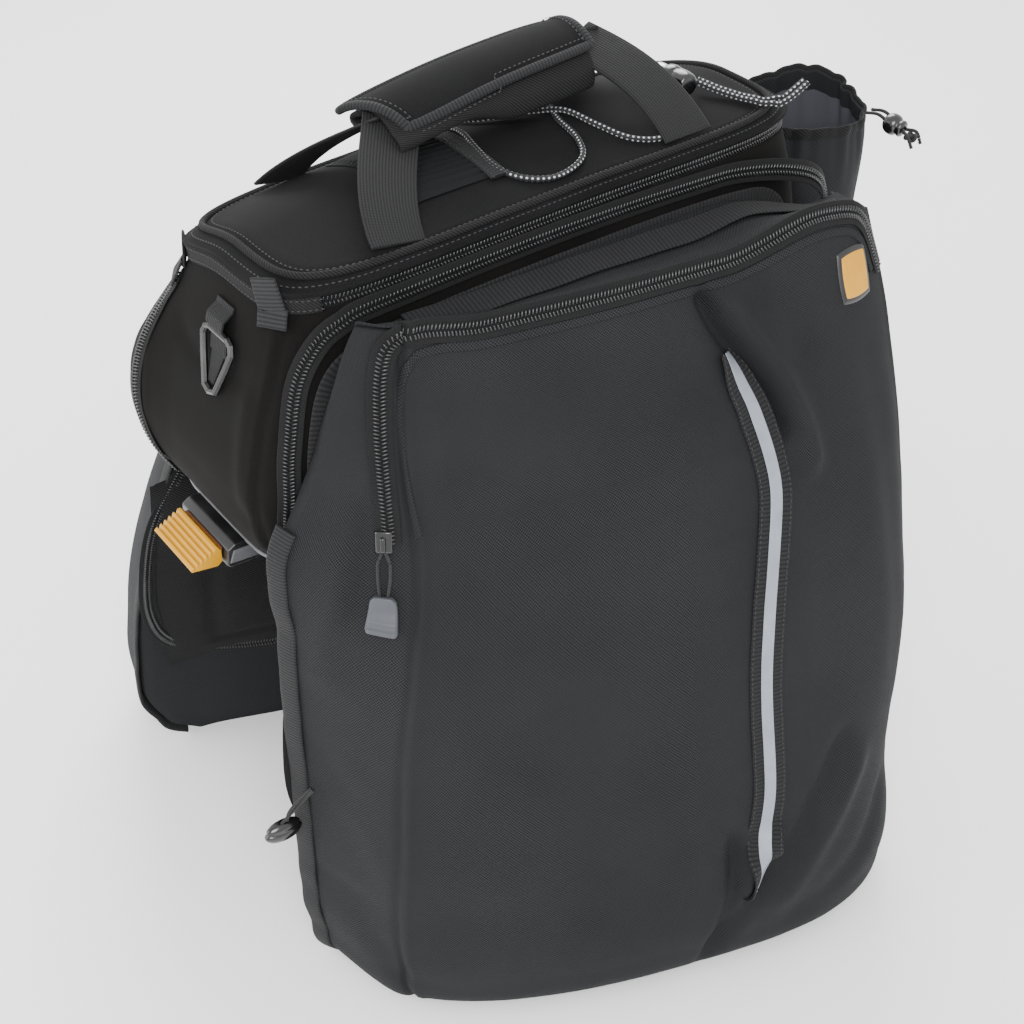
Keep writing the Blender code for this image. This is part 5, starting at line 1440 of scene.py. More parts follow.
    def pull(self) -> None:
        """Slider body and bridge, doubled cord and the ribbed tab."""
        start = np.array([-0.778, 0.770])
        run = np.array([-0.064, -0.136])
        steps = np.linspace(0.0, 1.0, 40)[:, None]
        trail = Trail.on(self.form.at, [tuple(p) for p in (start + run * steps)[::6]], 80, self.out, 0.0008)
        points, normals = trail.points, trail.normals
        lay(self.name("slider_plate"), Trail(points[:16], normals[:16]), self.slider, GLOSS_PLASTIC,
            self.name("pannier_slider"), slot="plastic")
        above = Trail(points[4:15], normals[4:15]).moved(0.0, 0.0028)
        lay(self.name("slider_bridge"), above, self.bridge, GLOSS_PLASTIC, slot="plastic")
        side, _, _ = tangent_frame(points, normals)
        spread = np.concatenate([np.linspace(0.0, 1.0, 12), np.ones(10), np.linspace(1.0, 0.55, 20)])[:, None]
        strands = [points[12:54] + side[12:54] * (turn * 0.0034 * spread) + normals[12:54] * 0.0020
                   for turn in (-1.0, 1.0)]
        loop = smooth_route(np.vstack([strands[0][::-1], strands[1]])[::3], 120)
        cord = round_cord(self.name("pull_loop"), loop, self.cord)
        dress(cord, PLAIN_CORD, "cord", self.name("pull_cord"))
        width = np.interp(np.linspace(0.0, 1.0, 30), (0.0, 0.1, 0.25, 0.9, 1.0), (0.55, 0.78, 0.84, 1.0, 0.92))
        self.tab(Trail(points[48:78], normals[48:78]), width)

    def tab(self, trail: Trail, width: Array) -> None:
        """Rubber tab: a rounded slab whose width follows a profile, with three ribs across its foot."""
        side, up, _ = tangent_frame(trail.points, trail.normals)
        angle = np.linspace(0.0, 2.0 * math.pi, 28, endpoint=False)
        across = signed_power(np.cos(angle), 0.4) * 0.0092
        height = signed_power(np.sin(angle), 0.6) * 0.0024 + 0.0026
        run = np.linspace(0.0, 1.0, len(width))
        ribs = sum(bump(run - place, 0.025) for place in (0.70, 0.78, 0.86))
        rib = 1.0 + 0.20 * ribs - 0.22 * bump(run - 0.35, 0.18)
        rings = (trail.points[:, None] + side[:, None] * (across[None, :, None] * width[:, None, None])
                 + up[:, None] * (height[None, :, None] * rib[:, None, None]))
        tab = cloth_grid(self.name("rubber_tab"), with_ends(rings), wrap=True)
        dress(tab, RUBBER, "rubber", self.name("pull_tab"))

    def marks(self) -> None:
        """Ribbed tape, reflective stripe and the plain patch."""
        trail = Trail.on(self.form.at, STRIPE, 420, self.out, 0.0004)
        up = self.ground.thickness
        lay(self.name("stripe_ground"), trail, self.ground, KNIT_TAPE, self.name("stripe_tape"))
        lay(self.name("stripe_reflector"), trail.moved(0.0, up), self.stripe, REFLECTOR,
            self.name("reflective_stripe"), slot="reflector")
        stitch_rows(self.name("stripe_stitches"), [trail.moved(shift, up) for shift in (-0.0098, 0.0098)],
                    0.0032)
        self.patch()

    def patch(self) -> None:
        """Plain rounded patch: dark rim, raised yellow face."""
        u = np.linspace(-1.0, 1.0, 36)
        a, b = np.meshgrid(u, u, indexing="ij")
        rim = ("patch_rim", 0.0130, 0.0012, BLACK_PLASTIC, (self.name("patch"),))
        for name, size, lift, finish, nodes in (rim, ("patch_face", 0.0112, 0.0018, YELLOW_PLASTIC, ())):
            wide = a * np.sqrt(1.0 - 0.18 * b**2) * size
            tall = b * np.sqrt(1.0 - 0.18 * a**2) * size * 0.92
            x = 0.80 * self.form.length / 2 + wide
            share = 0.905 + tall / self.form.height
            normal = surface_normal(self.form.skin, x, share, self.out, 1e-3)
            crown = lift * (1.0 - np.clip(np.maximum(np.abs(a), np.abs(b)), 0.0, 1.0) ** 14)
            points = self.form.skin(x, share) + normal * (crown + 0.0003)[..., None]
            dress(cloth_grid(self.name(name), points, facing=self.out), finish, "patch", *nodes)

    def binding(self) -> None:
        """Ribbed binding folded round the front and rear back edges."""
        for sign, word, high in ((-1, "front", 0.76), (1, "rear", 0.96)):
            share = np.linspace(high, 0.012, 300)
            x = self.form.edge(share, sign)
            base = self.form.skin(x, share)
            points = base + np.array([sign * 0.0010, -self.side.value * 0.0045, 0.0])
            wobble = 0.0010 * ripple(share * 0.448, share * 0.0, 17 + sign, 6, 60.0, 260.0)
            points[:, 0] += sign * wobble
            normals = np.broadcast_to(np.array([float(sign), self.side.value * 0.35, 0.0]), points.shape)
            lay(self.name("binding_" + word), Trail(points, unit(normals)), self.edging, BINDING)

    def cover(self) -> None:
        """Padded stow cover on the wheel side: grey lining, crowned pad, U zip round it."""
        low, high = -0.214, -0.028
        u, v = np.meshgrid(np.linspace(-1.0, 1.0, 150), np.linspace(-1.0, 1.0, 80), indexing="ij")
        x = np.where(u < 0.0, 0.188, 0.168) * u * np.sqrt(1.0 - 0.10 * np.clip(-v, 0.0, 1.0) ** 2)
        z = (low + high) / 2 + (high - low) / 2 * v * np.sqrt(1.0 - 0.08 * u**2)
        ground = self.form.wheel(x, z)
        rim = (1.0 - np.abs(u) ** 10) * (1.0 - np.abs(v) ** 8)
        quilt = 1.0 - 0.30 * bump(np.maximum(np.abs(u), np.abs(np.minimum(v, 0.0))) - 0.80, 0.035)
        height = 0.0012 + 0.0085 * rim * quilt + 0.0007 * ripple(x, z, 41, 9, 30.0, 120.0) * rim
        pad = cloth_grid(self.name("cover_pad"), ground - self.out * height[..., None], facing=-self.out)
        dress(pad, TWILL_CLOTH, "cloth", self.name("cover_panel"))
        lining = self.form.wheel(x * (1.02 if self.side is Side.NEAR else 0.98), z) - self.out * 0.0004
        strip = cloth_grid(self.name("cover_cloth"), lining, facing=-self.out)
        dress(strip, LINING_CLOTH, "lining", self.name("cover_lining"))
        self.name("pannier_skin")

        def wheel(a: Array, b: Array) -> Array:
            """Wheel side just above the pad's edge."""
            return self.form.wheel(a, b) - self.out * 0.0012

        line = Trail.on(wheel, COVER_ZIP, 420, -self.out, 0.0006)
        Zip(self.name("cover_zip"), line, width=0.0125, row=0.0032).build(self.name("cover_zip"))

    def build(self) -> None:
        """Make every piece of the pannier."""
        self.shell()
        self.gusset()
        self.closures()
        self.marks()
        self.binding()
        self.cover()


@dataclass
class Handle:
    """Carry handle: two ribbed webbing loops, an inner wrap and a bound outer flap."""

    form: TrunkForm = field(default_factory=TrunkForm)
    span: float = 0.190
    shift: float = -0.004
    foot: float = 0.066
    rise: float = 0.040
    tilt: float = 0.09
    grip: float = 0.128
    web: Tape = Tape(0.032, 0.0022, 5.0)
    edging: Tape = Tape(0.0055, 0.0046, 2.4)

    def top(self, x: Array) -> Array:
        """Height of the webbing's top under the grip; it follows the lid's slope."""
        ends = np.array([-self.span / 2, self.span / 2]) + self.shift
        feet = self.form.lid(ends, np.full(2, -self.foot))[:, 2]
        tilt = (feet[1] - feet[0]) / self.span
        return feet.mean() + self.rise + (tilt + self.tilt) * x

    def legs(self, side: Side) -> None:
        """Both legs of one loop: from the lid's edge up under the grip, with a slight belly and lean."""
        made = []
        t = np.linspace(0.0, 1.0, 60)
        for sign, inward in ((-1, 0.040), (1, 0.026)):
            x = sign * (self.span / 2 - inward * t**1.3 + 0.001 * np.sin(5.0 * t)) + self.shift
            foot = self.foot + 0.006 if side is Side.NEAR else self.foot - 0.010
            y = side.value * (foot - (foot - 0.001) * t)
            ground = self.form.lid(x, y)[:, 2]
            z = ground[0] + 0.0010 + (self.top(x) - 0.004 - ground[0]) * t**0.92 + 0.004 * np.sin(math.pi * t)
            z = np.maximum(z, self.form.lid(x, y)[:, 2] + 0.0012)
            points = np.stack([x, y, z], axis=1)
            outward = np.full_like(t, side.value * 0.55) - 0.2 * side.value * t
            normals = np.stack([np.full_like(t, -0.10 * sign), outward, np.ones_like(t)], axis=1)
            made.append(Trail(points, unit(normals)).band("leg", self.web))
        dress(join("handle_webbing_" + side.word, made), WEBBING, "webbing", "handle_" + side.word)

    def wrap(self) -> None:
        """Inner wrap and outer flap, each a closed pad carried along the grip."""
        t = np.linspace(0.0, 1.0, 90)[:, None]
        x = (t - 0.5) * self.grip + self.shift
        arch = 0.003 * (1.0 - (2.0 * t - 1.0) ** 2)
        half = np.array(((-0.0190, -0.0236), (-0.0270, -0.0238), (-0.0335, -0.0205), (-0.0350, -0.0150),
                         (-0.0330, -0.0085), (-0.0245, -0.0010), (-0.0130, 0.0042), (0.0, 0.0060)))
        section = smooth_route(np.vstack([half, half[::-1][1:] * np.array([-1.0, 1.0])]), 120)
        ends = 1.0 - 0.05 * np.abs(2.0 * t - 1.0) ** 8
        y = section[None, :, 0] * ends * 0.80
        below = 0.45 + 0.55 * ease(t, 0.30, 0.62)
        depth = section[None, :, 1]
        z = self.top(x) + arch + np.where(depth < 0.0, depth * below, depth) - 0.0012
        across = x + 0.0 * y
        slack = 0.0007 * ripple(across, z + y, 61, 9, 40.0, 140.0)
        inner = np.stack([across, y, z + slack], axis=-1)
        core = cloth_grid("grip_core", inner, facing=UP, thickness=0.0032)
        dress(core, TWILL_CLOTH, "cloth")
        upper = smooth_route(section[section[:, 1] > -0.0020][::6], 100)
        droop = 1.0 + 0.05 * (1.0 - (2.0 * t - 1.0) ** 2) - 0.10 * np.abs(2.0 * t - 1.0) ** 6
        y = upper[None, :, 0] * 0.88 * droop
        z = self.top(x) + arch + upper[None, :, 1] + 0.0022
        across = x * 1.02 - 0.50 * y * (1.0 - t) ** 2
        quilt = 0.0008 * ripple(across, y, 63, 9, 30.0, 110.0)
        outer = np.stack([across, y, z + quilt], axis=-1)
        flap = cloth_grid("grip_flap", outer, facing=UP, thickness=0.0030)
        dress(flap, LID_SHELL, "cloth", "grip_wrap")
        rim = np.vstack([outer[:, 0], outer[-1, 1:-1], outer[::-1, -1], outer[0, 1:-1][::-1]])
        rim = smooth_route(rim[::4], 420, closed=True)
        centre = np.array([self.shift, 0.0, float(self.top(np.array(0.0))) - 0.030])
        normals = unit((rim - centre) * np.array([0.15, 1.0, 1.0]))
        trail = Trail(rim - normals * 0.0030, normals, True)
        lay("grip_binding", trail, self.edging, BINDING)
        shift = unit(np.cross(np.roll(rim, -1, axis=0) - np.roll(rim, 1, axis=0), normals))
        inward = shift * np.sign(np.sum(shift * (centre - rim), axis=1, keepdims=True))
        row = Trail(rim + inward * 0.0050 + normals * 0.0004, normals, True)
        stitches("grip_stitches", row, 0.0032)

    def build(self) -> None:
        """Make every piece of the handle."""
        for side in Side:
            self.legs(side)
        self.wrap()


@dataclass
class LidFittings:
    """Gathered pocket with its bound mouth, elastic lacing and the barrel lock on the lid."""

    form: TrunkForm = field(default_factory=TrunkForm)
    cord: float = 0.0034
    mouth: Tape = Tape(0.0110, 0.0020, 3.5)

    def pocket(self) -> None:
        """Stretch panel: height adds gathers that fan out from the bound mouth."""
        u, v = np.meshgrid(np.linspace(0.0, 1.0, 90), np.linspace(-1.0, 1.0, 200), indexing="ij")
        x = -0.074 + 0.047 * u
        y = 0.050 * v * (1.0 - 0.06 * (1.0 - u))
        gather = np.sin(58.0 * v + 2.4 * np.sin(3.1 * v) + 0.8 * u) * (0.35 + 0.65 * u**2)
        lift = 0.0016 + 0.0011 * gather + 0.0012 * np.sin(math.pi * u)
        lift = lift + 0.0006 * ripple(x, y, 19, 7, 60.0, 200.0)
        lift = lift * np.clip(12.0 * u, 0.0, 1.0) * (1.0 - 0.8 * np.abs(v) ** 10)
        points = self.form.lid(x, y)
        points[..., 2] += lift + 0.0006
        sheet = cloth_grid("gathered_pocket", points, facing=UP, thickness=0.0005)
        dress(sheet, STRETCH_MESH, "cloth", "stretch_pocket")
        route = ((-0.0236, -0.054), (-0.0222, -0.02), (-0.0220, 0.02), (-0.0236, 0.054))
        trail = Trail.on(self.form.lid, route, 160, UP, 0.0016)
        lay("pocket_mouth", trail, self.mouth, BINDING, "pocket_binding")
        stitch_rows("pocket_stitches", [trail.moved(shift, 0.0020) for shift in (-0.0040, 0.0040)], 0.0030)

    def route(self, route: Sequence[Sequence[float]], count: int, shift: float = 0.0) -> Array:
        """Centre line of a cord on the lid: height is the lid plus the route's third value and half a cord."""
        points = smooth_route(route, count)
        tangent = unit(np.gradient(points[:, :2], axis=0))
        x, y = points[:, 0] - tangent[:, 1] * shift, points[:, 1] + tangent[:, 0] * shift
        ground = self.form.lid(x, y)
        ground[:, 2] += points[:, 2] + self.cord / 2 + 0.0006
        return ground

    def elastic(self, name: str, node: str, points: Array) -> None:
        """Flecked elastic cord along its own route."""
        cord = dress(round_cord(name, points, self.cord, 12), FLECKED_CORD, "cord", node)

    def lacing(self) -> None:
        """Lacing, crossing and the doubled tail beyond the lock."""
        lacing = ((0.058, 0.026, 0.0), (0.050, 0.006, 0.0), (0.039, -0.021, 0.0), (0.034, -0.046, 0.0),
                  (0.024, -0.063, 0.0), (0.004, -0.069, 0.0), (-0.013, -0.062, 0.0), (-0.021, -0.046, 0.0),
                  (-0.018, -0.024, 0.0), (-0.012, 0.004, 0.0), (-0.012, 0.034, 0.0))
        crossing = ((0.000, 0.036, 0.0), (0.008, 0.012, 0.0), (0.034, -0.006, 0.001), (0.043, -0.022, 0.0042),
                    (0.050, -0.042, 0.002), (0.060, -0.060, 0.0), (0.078, -0.068, 0.0), (0.094, -0.058, 0.0),
                    (0.101, -0.042, 0.002), (0.1080, -0.030, 0.0045))
        tail = ((0.1325, -0.0300, 0.0045), (0.140, -0.043, 0.002), (0.148, -0.056, 0.001), (0.155, -0.066, 0.003),
                (0.165, -0.071, 0.008), (0.178, -0.073, 0.016))
        self.elastic("lacing_cord", "bungee_cord", self.route(lacing, 220))
        self.elastic("crossing_cord", "bungee_cross", self.route(crossing, 200))
        for number, shift in (("1", -0.0021), ("2", 0.0021)):
            self.elastic("tail_cord_" + number, "bungee_tail_" + number, self.route(tail, 80, shift))

    def lock(self) -> None:
        """Barrel lock along Y: waisted body with ridges and a lighter push button."""
        spot = self.form.lid(np.array(0.1200), np.array(-0.0280))
        centre = spot + UP * 0.0083
        body = ((0.0, 0.0), (0.0, 0.0052), (0.0006, 0.0064), (0.0030, 0.0070), (0.0075, 0.0073),
                (0.0105, 0.0072), (0.0112, 0.0064), (0.0120, 0.0064), (0.0128, 0.0074), (0.0170, 0.0075),
                (0.0190, 0.0071), (0.0199, 0.0060), (0.0199, 0.0059), (0.0118, 0.0059), (0.0118, 0.0))
        barrel = refine(lathe("lock_barrel", centre - ACROSS * 0.0100, ACROSS, body))
        dress(barrel, GLOSS_PLASTIC, "plastic", "bungee_lock")
        knob = ((0.0, 0.0), (0.0, 0.0050), (0.0015, 0.0054), (0.0040, 0.0054), (0.0046, 0.0049),
                (0.0056, 0.0049), (0.0062, 0.0055), (0.0120, 0.0056), (0.0136, 0.0050), (0.0140, 0.0036),
                (0.0136, 0.0020), (0.0134, 0.0))
        button = refine(lathe("lock_knob", centre + ACROSS * 0.0060, ACROSS, knob))
        dress(button, SILVER_BUTTON, "button_plastic", "bungee_lock_button", body="lock_button")

    def build(self) -> None:
        """Make every fitting of the lid."""
        self.pocket()
        self.lacing()
        self.lock()


@dataclass
class BottleSleeve:
    """Round drawstring sleeve behind the trunk: gathered rim, pale lining, cord, ball lock and knot."""

    centre: float = 0.2376
    radius: float = 0.050
    bottom: float = 0.006
    height: float = 0.150
    cord: float = 0.0026
    strand: float = 0.0022
    columns: int = 260
    hem: Tape = Tape(0.0075, 0.0028, 2.6)

    def wall(self) -> None:
        """Outer wall, rolled rim and inner wall in one closed grid over angle and height."""
        angle = np.linspace(0.0, 2.0 * math.pi, self.columns, endpoint=False)[None, :]
        table = {"height": (0.0, 0.06, 0.40, 0.80, 1.0), "radius": (0.80, 0.92, 0.97, 1.00, 0.96)}
        share = np.linspace(0.0, 1.0, 90)[:, None]
        pleat = np.sin(17.0 * angle + 1.5 * np.sin(3.0 * angle)) + 0.6 * np.sin(29.0 * angle + 0.7)
        drape = ripple(np.cos(angle) * 0.2 + 0.0 * share, share * 0.15 + 0.03 * angle, 83, 8, 30.0, 110.0)
        plain = self.radius * column(table, "radius", share)
        outer = plain + 0.0006 * pleat * ease(share, 0.62, 0.97) + 0.0022 * drape
        outer = np.where(np.cos(angle) < -0.86, np.minimum(outer, plain), outer)
        rim = 0.0045 * np.sin(2.0 * angle + 0.9) + 0.0025 * np.sin(3.0 * angle) + 0.0005 * pleat - 0.006
        z = self.bottom + self.height * share + rim * ease(share, 0.7, 1.0)
        inner = outer[::-1] - 0.0024
        floor = z[:1] + 0.003
        within = np.maximum(z[::-1] - 0.0006, self.bottom + 0.003)
        radius = np.concatenate([share * outer[:1] for share in (0.02, 0.7, 0.94)] + [outer, inner]
                                + [share * inner[-1:] for share in (0.5, 0.02)])
        height = np.concatenate([z[:1], z[:1], z[:1], z, within, floor, floor])
        points = np.stack([self.centre + radius * np.cos(angle), radius * np.sin(angle), height], axis=-1)
        body = dress(cloth_grid("sleeve_cloth", points, wrap=True), PACK_CLOTH, "cloth", "bottle_sleeve")
        body.data.materials.append(LINING_CLOTH.material())
        rows = np.repeat(np.arange(len(points) - 1), self.columns)
        body.data.polygons.foreach_set("material_index", ((rows > 100) & (rows < 175)).astype(np.int32))
        edge = points[92]
        out = unit((edge - np.array([self.centre, 0.0, 0.0])) * LEVEL)
        trail = Trail(edge - UP * 0.0010 - out * 0.0012, out, True).resampled(300)
        lay("sleeve_hem", trail, self.hem, TWILL_CLOTH, lift=-0.0004)

    def drawcord(self) -> None:
        """Two cord strands from the hem to the ball lock, a knot and a short tail."""
        top = self.bottom + self.height
        turn = math.radians(-57.0)
        low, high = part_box("sleeve_lock")
        ball = (np.array(low) + np.array(high)) / 2 - ORIGIN
        start = np.array([self.centre + 0.0518 * math.cos(turn), 0.0518 * math.sin(turn), top - self.cord])
        path = smooth_route([start, (start + ball) / 2 + UP * 0.0030, ball], 60)
        for name, shift, nodes in (("drawcord_1", -0.0017, ("sleeve_cord",)), ("drawcord_2", 0.0017, ())):
            points = path + np.array([shift, -shift * 0.4, shift * 0.5])
            strand = dress(round_cord(name, points, self.strand), PLAIN_CORD, "cord", *nodes)
        axis = unit(ball - start)
        profile = ((0.0, 0.0), (0.0, 0.0030), (0.0012, 0.0052), (0.0040, 0.0068), (0.0070, 0.0070),
                   (0.0095, 0.0062), (0.0104, 0.0048), (0.0112, 0.0048), (0.0122, 0.0056), (0.0138, 0.0052),
                   (0.0146, 0.0034), (0.0146, 0.0))
        lock = refine(lathe("drawcord_lock", ball - axis * 0.0070, axis, profile, 30))
        dress(lock, GLOSS_PLASTIC, "plastic", "sleeve_lock")
        side = unit(np.cross(axis, UP))
        for name, sign in (("drawcord_tail_1", -1.0), ("drawcord_tail_2", 1.0)):
            end = ball + axis * 0.0076 + side * sign * 0.0020
            aside = side * sign * 0.003
            tail = smooth_route([end, end + axis * 0.006 + aside, end + axis * 0.010 + aside - UP * 0.006], 40)
            dress(round_cord(name, tail, self.strand), PLAIN_CORD, "cord")
        knot_at = ball + axis * 0.013 - UP * 0.002
        t = np.linspace(0.0, 2.0 * math.pi, 90)
        coil = np.stack([np.sin(t) + 2.0 * np.sin(2.0 * t), np.cos(t) - 2.0 * np.cos(2.0 * t),
                         -1.3 * np.sin(3.0 * t)], axis=1)
        dress(round_cord("drawcord_knot", knot_at + coil * 0.0012, self.strand), PLAIN_CORD, "cord")

    def build(self) -> None:
        """Make every piece of the sleeve."""
        self.wall()
        self.drawcord()


@dataclass
class EndFittings:
    """Ring and its webbing, base plate, release housing with its slot, yellow tab and the small cord lock."""

    webbing: Tape = Tape(0.0185, 0.0016, 5.0)
    lip: Tape = Tape(0.0024, 0.0022, 2.6)
    strand: float = 0.0020

    def slab(self, name: str, profile: Sequence[Sequence[float]], width: float, y: float,
             bevel: float) -> bpy.types.Object:
        """Profile in x and z drawn out along y between two closed ends, its edges rounded by Bevel."""
        outline = np.array(profile)
        half = np.array([y - width / 2, y + width / 2])
        x, z = outline[None, :, 0], outline[None, :, 1]
        ring = np.stack(np.broadcast_arrays(x, half[:, None], z), axis=-1)
        count = len(outline)
        area = float(np.sum(x * np.roll(z, -1) - np.roll(x, -1) * z))
        turn = 1 if area < 0.0 else -1
        faces = [tuple(int(v) for v in face)[::turn] for face in grid_faces(2, count, True)]
        faces += [tuple(range(count))[::-turn], tuple(range(count, 2 * count))[::turn]]
        mesh = bpy.data.meshes.new(name)
        mesh.from_pydata([tuple(p) for p in (ring.reshape(-1, 3) + ORIGIN)], [], faces)
        mesh.update()
        item = bpy.data.objects.new(name, mesh)
        bpy.context.scene.collection.objects.link(item)
        edge = item.modifiers.new("edge", "BEVEL")
        edge.width = bevel
        edge.segments = 3
        edge.limit_method = "ANGLE"
        mesh.shade_smooth()
        return item

    def ring(self) -> None:
        """Moulded ring and the webbing loop that holds it, with its tapered tail."""
        repaint("front_ring", BLACK_PLASTIC)
        low, high = node_box("ring_tab")
        form = TrunkForm()
        y = (low[1] + high[1]) / 2
        route = [(y, share) for share in (0.93, 0.90, 0.87, 0.84, 0.81, 0.78, 0.75)]
        trail = Trail.on(form.end, route, 60, FRONT, 0.0004)
        rise = np.interp(np.linspace(0.0, 1.0, 60), (0.0, 0.12, 0.3, 0.45, 0.62, 1.0),
                         (0.0, 0.0006, 0.0052, 0.0054, 0.0012, 0.0))
        trail = Trail(trail.points + trail.normals * rise[:, None], trail.normals)
        lay("ring_webbing", trail, self.webbing, WEBBING, "ring_tab")
        tail = Trail.on(form.end, [(y, 0.765), (y + 0.001, 0.70), (y + 0.002, 0.64)], 40, FRONT, 0.0003)
        taper = np.linspace(1.0, 0.45, 40)
        profile = round_profile(0.0150, 0.0016, 14, 5.0)
        side, up, _ = tangent_frame(tail.points, tail.normals)
        rings = (tail.points[:, None] + side[:, None] * (profile[None, :, :1] * taper[:, None, None])
                 + up[:, None] * profile[None, :, 1:])
        dress(cloth_grid("ring_tail", with_ends(rings), wrap=True), WEBBING, "webbing")

    def base(self) -> None:
        """Plate, housing with its amber slot and pale mould edges, and the hinged yellow tab."""
        repaint("base_plate", BLACK_PLASTIC)
        low, high = node_box("release_housing")
        x0, x1, z0, z1 = low[0], high[0], low[2], high[2]
        block = ((x0, z0 + 0.002), (x0 + 0.002, z0), (x1, z0), (x1, z1), (x0 + 0.006, z1), (x0 + 0.001, z1 - 0.003))
        body = self.slab("housing_body", block, high[1] - low[1], (low[1] + high[1]) / 2, 0.0010)
        dress(body, BLACK_PLASTIC, "plastic", "release_housing")
        insert = ((x0 - 0.0006, z1 - 0.0062), (x0 + 0.002, z1 - 0.0066), (x0 + 0.002, z1 - 0.0042),
                  (x0 - 0.0006, z1 - 0.0040))
        dress(self.slab("housing_slot", insert, 0.044, 0.0, 0.0003), AMBER_PLASTIC, "plastic")
        side = ((x0 + 0.0015, z0 + 0.0035), (x0 + 0.030, z0 + 0.0020), (x0 + 0.036, z1 - 0.004),
                (x0 + 0.0045, z1 - 0.0035))
        dress(self.slab("housing_cheek", side, 0.0014, low[1] - 0.0004, 0.0006), GREY_PLASTIC, "plastic")
        rim = TrunkForm().loop(0.0, 240)
        rim = rim[rim[:, 0] < -0.02]
        rim = rim[np.argsort(np.arctan2(rim[:, 1], rim[:, 0] + 0.02) % (2.0 * math.pi))]
        rim = smooth_route(rim[::4] - UP * 0.0006, 200)
        lay("base_lip", Trail(rim, unit(rim * LEVEL)), self.lip, GREY_PLASTIC, slot="plastic")
        self.tab_piece()

    def tab_piece(self) -> None:
        """Yellow tab: a wedge with five finger ridges along its width."""
        low, high = node_box("release_tab")
        length = high[0] - low[0]
        top = [(1.00, 0.80), (0.90, 1.00), (0.80, 0.98)]
        for step in range(5):
            at = 0.74 - 0.145 * step
            level = 0.88 - 0.125 * step
            top += [(at, level - 0.10), (at - 0.030, level - 0.10), (at - 0.055, level + 0.02),
                    (at - 0.105, level - 0.02)]
        under = [(0.0, 0.28), (0.03, 0.18), (0.20, 0.14), (0.84, 0.0), (1.00, 0.20)]
        profile = [(low[0] + length * a, low[2] + (high[2] - low[2]) * b) for a, b in top + under]
        tab = self.slab("ribbed_tab", profile, high[1] - low[1], (low[1] + high[1]) / 2, 0.0005)
        dress(tab, YELLOW_PLASTIC, "yellow_plastic", "release_tab", body="release_tab")

    def small_parts(self) -> None:
        """Grey pull of the far arch zip, and the oval lock on its two short cords."""
        repaint("side_zip_pull", RUBBER)
        low, high = node_box("cover_lock")
        middle, size = (low + high) / 2, (high - low) / 2
        a = np.linspace(-math.pi / 2, math.pi / 2, 40)[:, None]
        b = np.linspace(0.0, 2.0 * math.pi, 48, endpoint=False)[None, :]
        waist = 1.0 - 0.16 * bump(np.sin(a) - 0.25, 0.16)
        girth = np.cos(a) ** 0.8
        points = np.stack([middle[0] + size[0] * girth * np.cos(b) * waist,
                           middle[1] + size[1] * girth * np.sin(b) * waist,
                           middle[2] + size[2] * np.sin(a) + 0.0 * b], axis=-1)
        dress(cloth_grid("oval_lock", points, wrap=True), GLOSS_PLASTIC, "plastic", "cover_lock")
        cord_low, cord_high = node_box("cover_cord")
        for name, shift, nodes in (("cover_strand_1", -0.0024, ("cover_cord",)), ("cover_strand_2", 0.0024, ())):
            start = np.array([middle[0] + shift, middle[1], middle[2] + size[2] * 0.6])
            end = np.array([cord_high[0] - 0.001, cord_low[1] + 0.002 + shift * 0.4, cord_high[2] - 0.001])
            path = smooth_route([start, (start + end) / 2 + np.array([-0.003 - shift, 0.0, 0.0]), end], 60)
            cord = dress(round_cord(name, path, self.strand), PLAIN_CORD, "cord", *nodes)

    def build(self) -> None:
        """Make every piece of the end."""
        self.ring()
        self.base()
        self.small_parts()


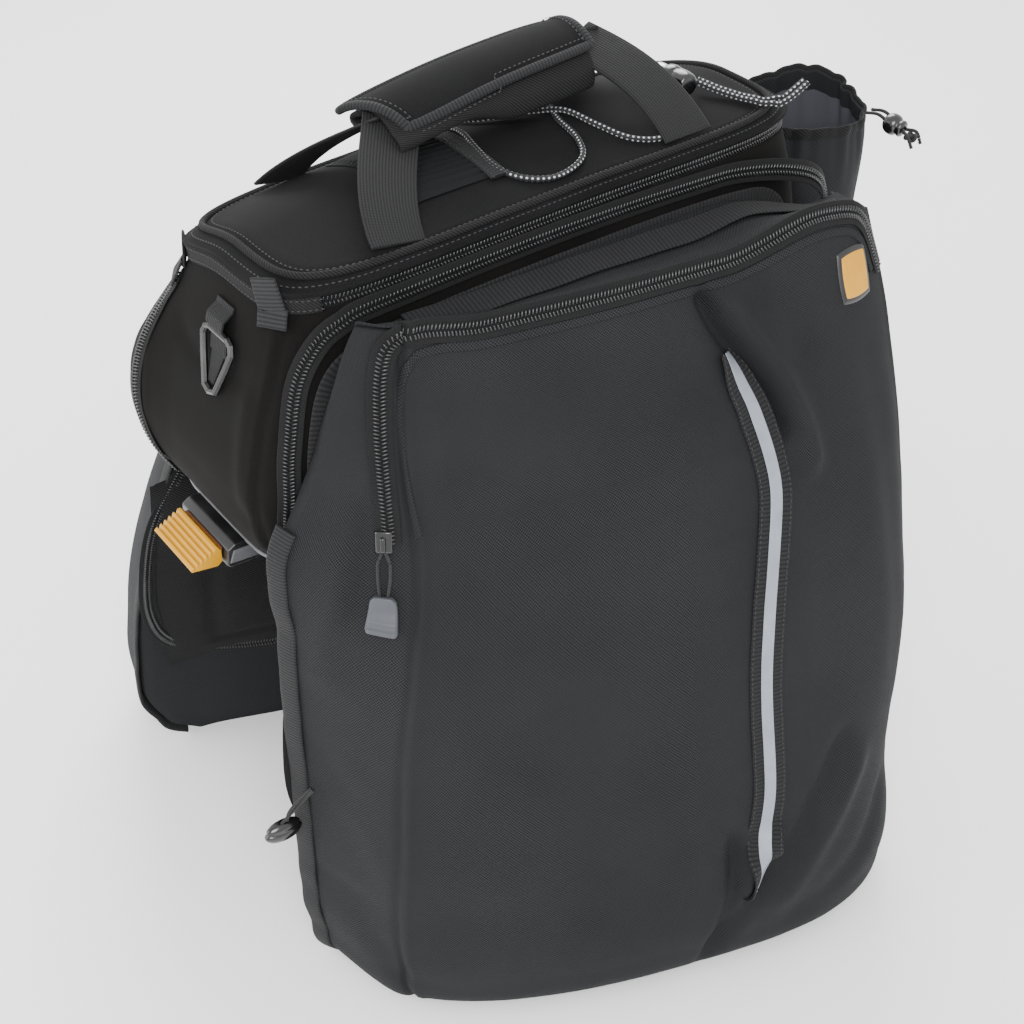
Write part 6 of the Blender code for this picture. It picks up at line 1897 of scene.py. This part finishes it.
@dataclass
class Studio:
    """Camera at the photograph's angle, pale floor and soft lamps."""

    position: tuple[float, float, float] = (-0.4999, -0.7454, 0.5782)
    target: tuple[float, float, float] = (0.0220, 0.0, -0.0829)
    lens: float = 59.77

    def camera(self) -> None:
        """Camera that looks at the target."""
        data = bpy.data.cameras.new("camera")
        data.lens = self.lens
        data.sensor_width = 36.0
        item = bpy.data.objects.new("camera", data)
        place = Vector(self.position) + Vector(ORIGIN)
        item.location = place
        item.rotation_euler = (Vector(self.target) + Vector(ORIGIN) - place).to_track_quat("-Z", "Y").to_euler()
        bpy.context.scene.collection.objects.link(item)
        bpy.context.scene.camera = item

    def lamp(self, name: str, place: Sequence[float], size: float, power: float) -> None:
        """Square soft lamp aimed at the bag."""
        data = bpy.data.lights.new(name, "AREA")
        data.size = size
        data.energy = power
        item = bpy.data.objects.new(name, data)
        item.location = place
        item.rotation_euler = (Vector((0.0, 0.0, 0.25)) - Vector(place)).to_track_quat("-Z", "Y").to_euler()
        bpy.context.scene.collection.objects.link(item)

    def build(self) -> None:
        """Floor, world light and three lamps."""
        size = 6.0
        corners = [(-size, -size, 0.0), (size, -size, 0.0), (size, size, 0.0), (-size, size, 0.0)]
        mesh = bpy.data.meshes.new("floor")
        mesh.from_pydata(corners, [], [(0, 1, 2, 3)])
        floor = bpy.data.objects.new("floor", mesh)
        bpy.context.scene.collection.objects.link(floor)
        shade = Shader("floor_paint")
        tone = shade.noise(shade.place("Object"), 3.0, 2.0)
        mesh.materials.append(shade.finish(shade.mix(tone, (0.88, 0.88, 0.88), (0.92, 0.92, 0.92)), 0.85))
        world = bpy.data.worlds.new("studio")
        world.use_nodes = True
        sky = world.node_tree.nodes["Background"]
        sky.inputs[0].default_value = (1.0, 1.0, 1.0, 1.0)
        sky.inputs[1].default_value = 1.7
        bpy.context.scene.world = world
        self.lamp("key", (-1.1, -1.6, 1.7), 1.2, 66.0)
        self.lamp("fill", (-1.9, 0.6, 0.9), 1.2, 24.0)
        self.lamp("back", (0.9, 1.5, 1.9), 1.4, 64.0)


def main() -> None:
    """Build every sub-assembly in turn."""
    logging.basicConfig(level=logging.INFO, format="%(message)s")
    Studio().camera()
    parts: list[tuple[str, object]] = [
        ("lid fittings", LidFittings()), ("trunk", Trunk()), ("near pannier", Pannier(Side.NEAR)),
        ("far pannier", Pannier(Side.FAR)), ("handle", Handle()), ("bottle sleeve", BottleSleeve()),
        ("end fittings", EndFittings()), ("studio", Studio())]
    for name, part in parts:
        LOG.info("building %s", name)
        part.build()


if __name__ == "__main__":
    main()
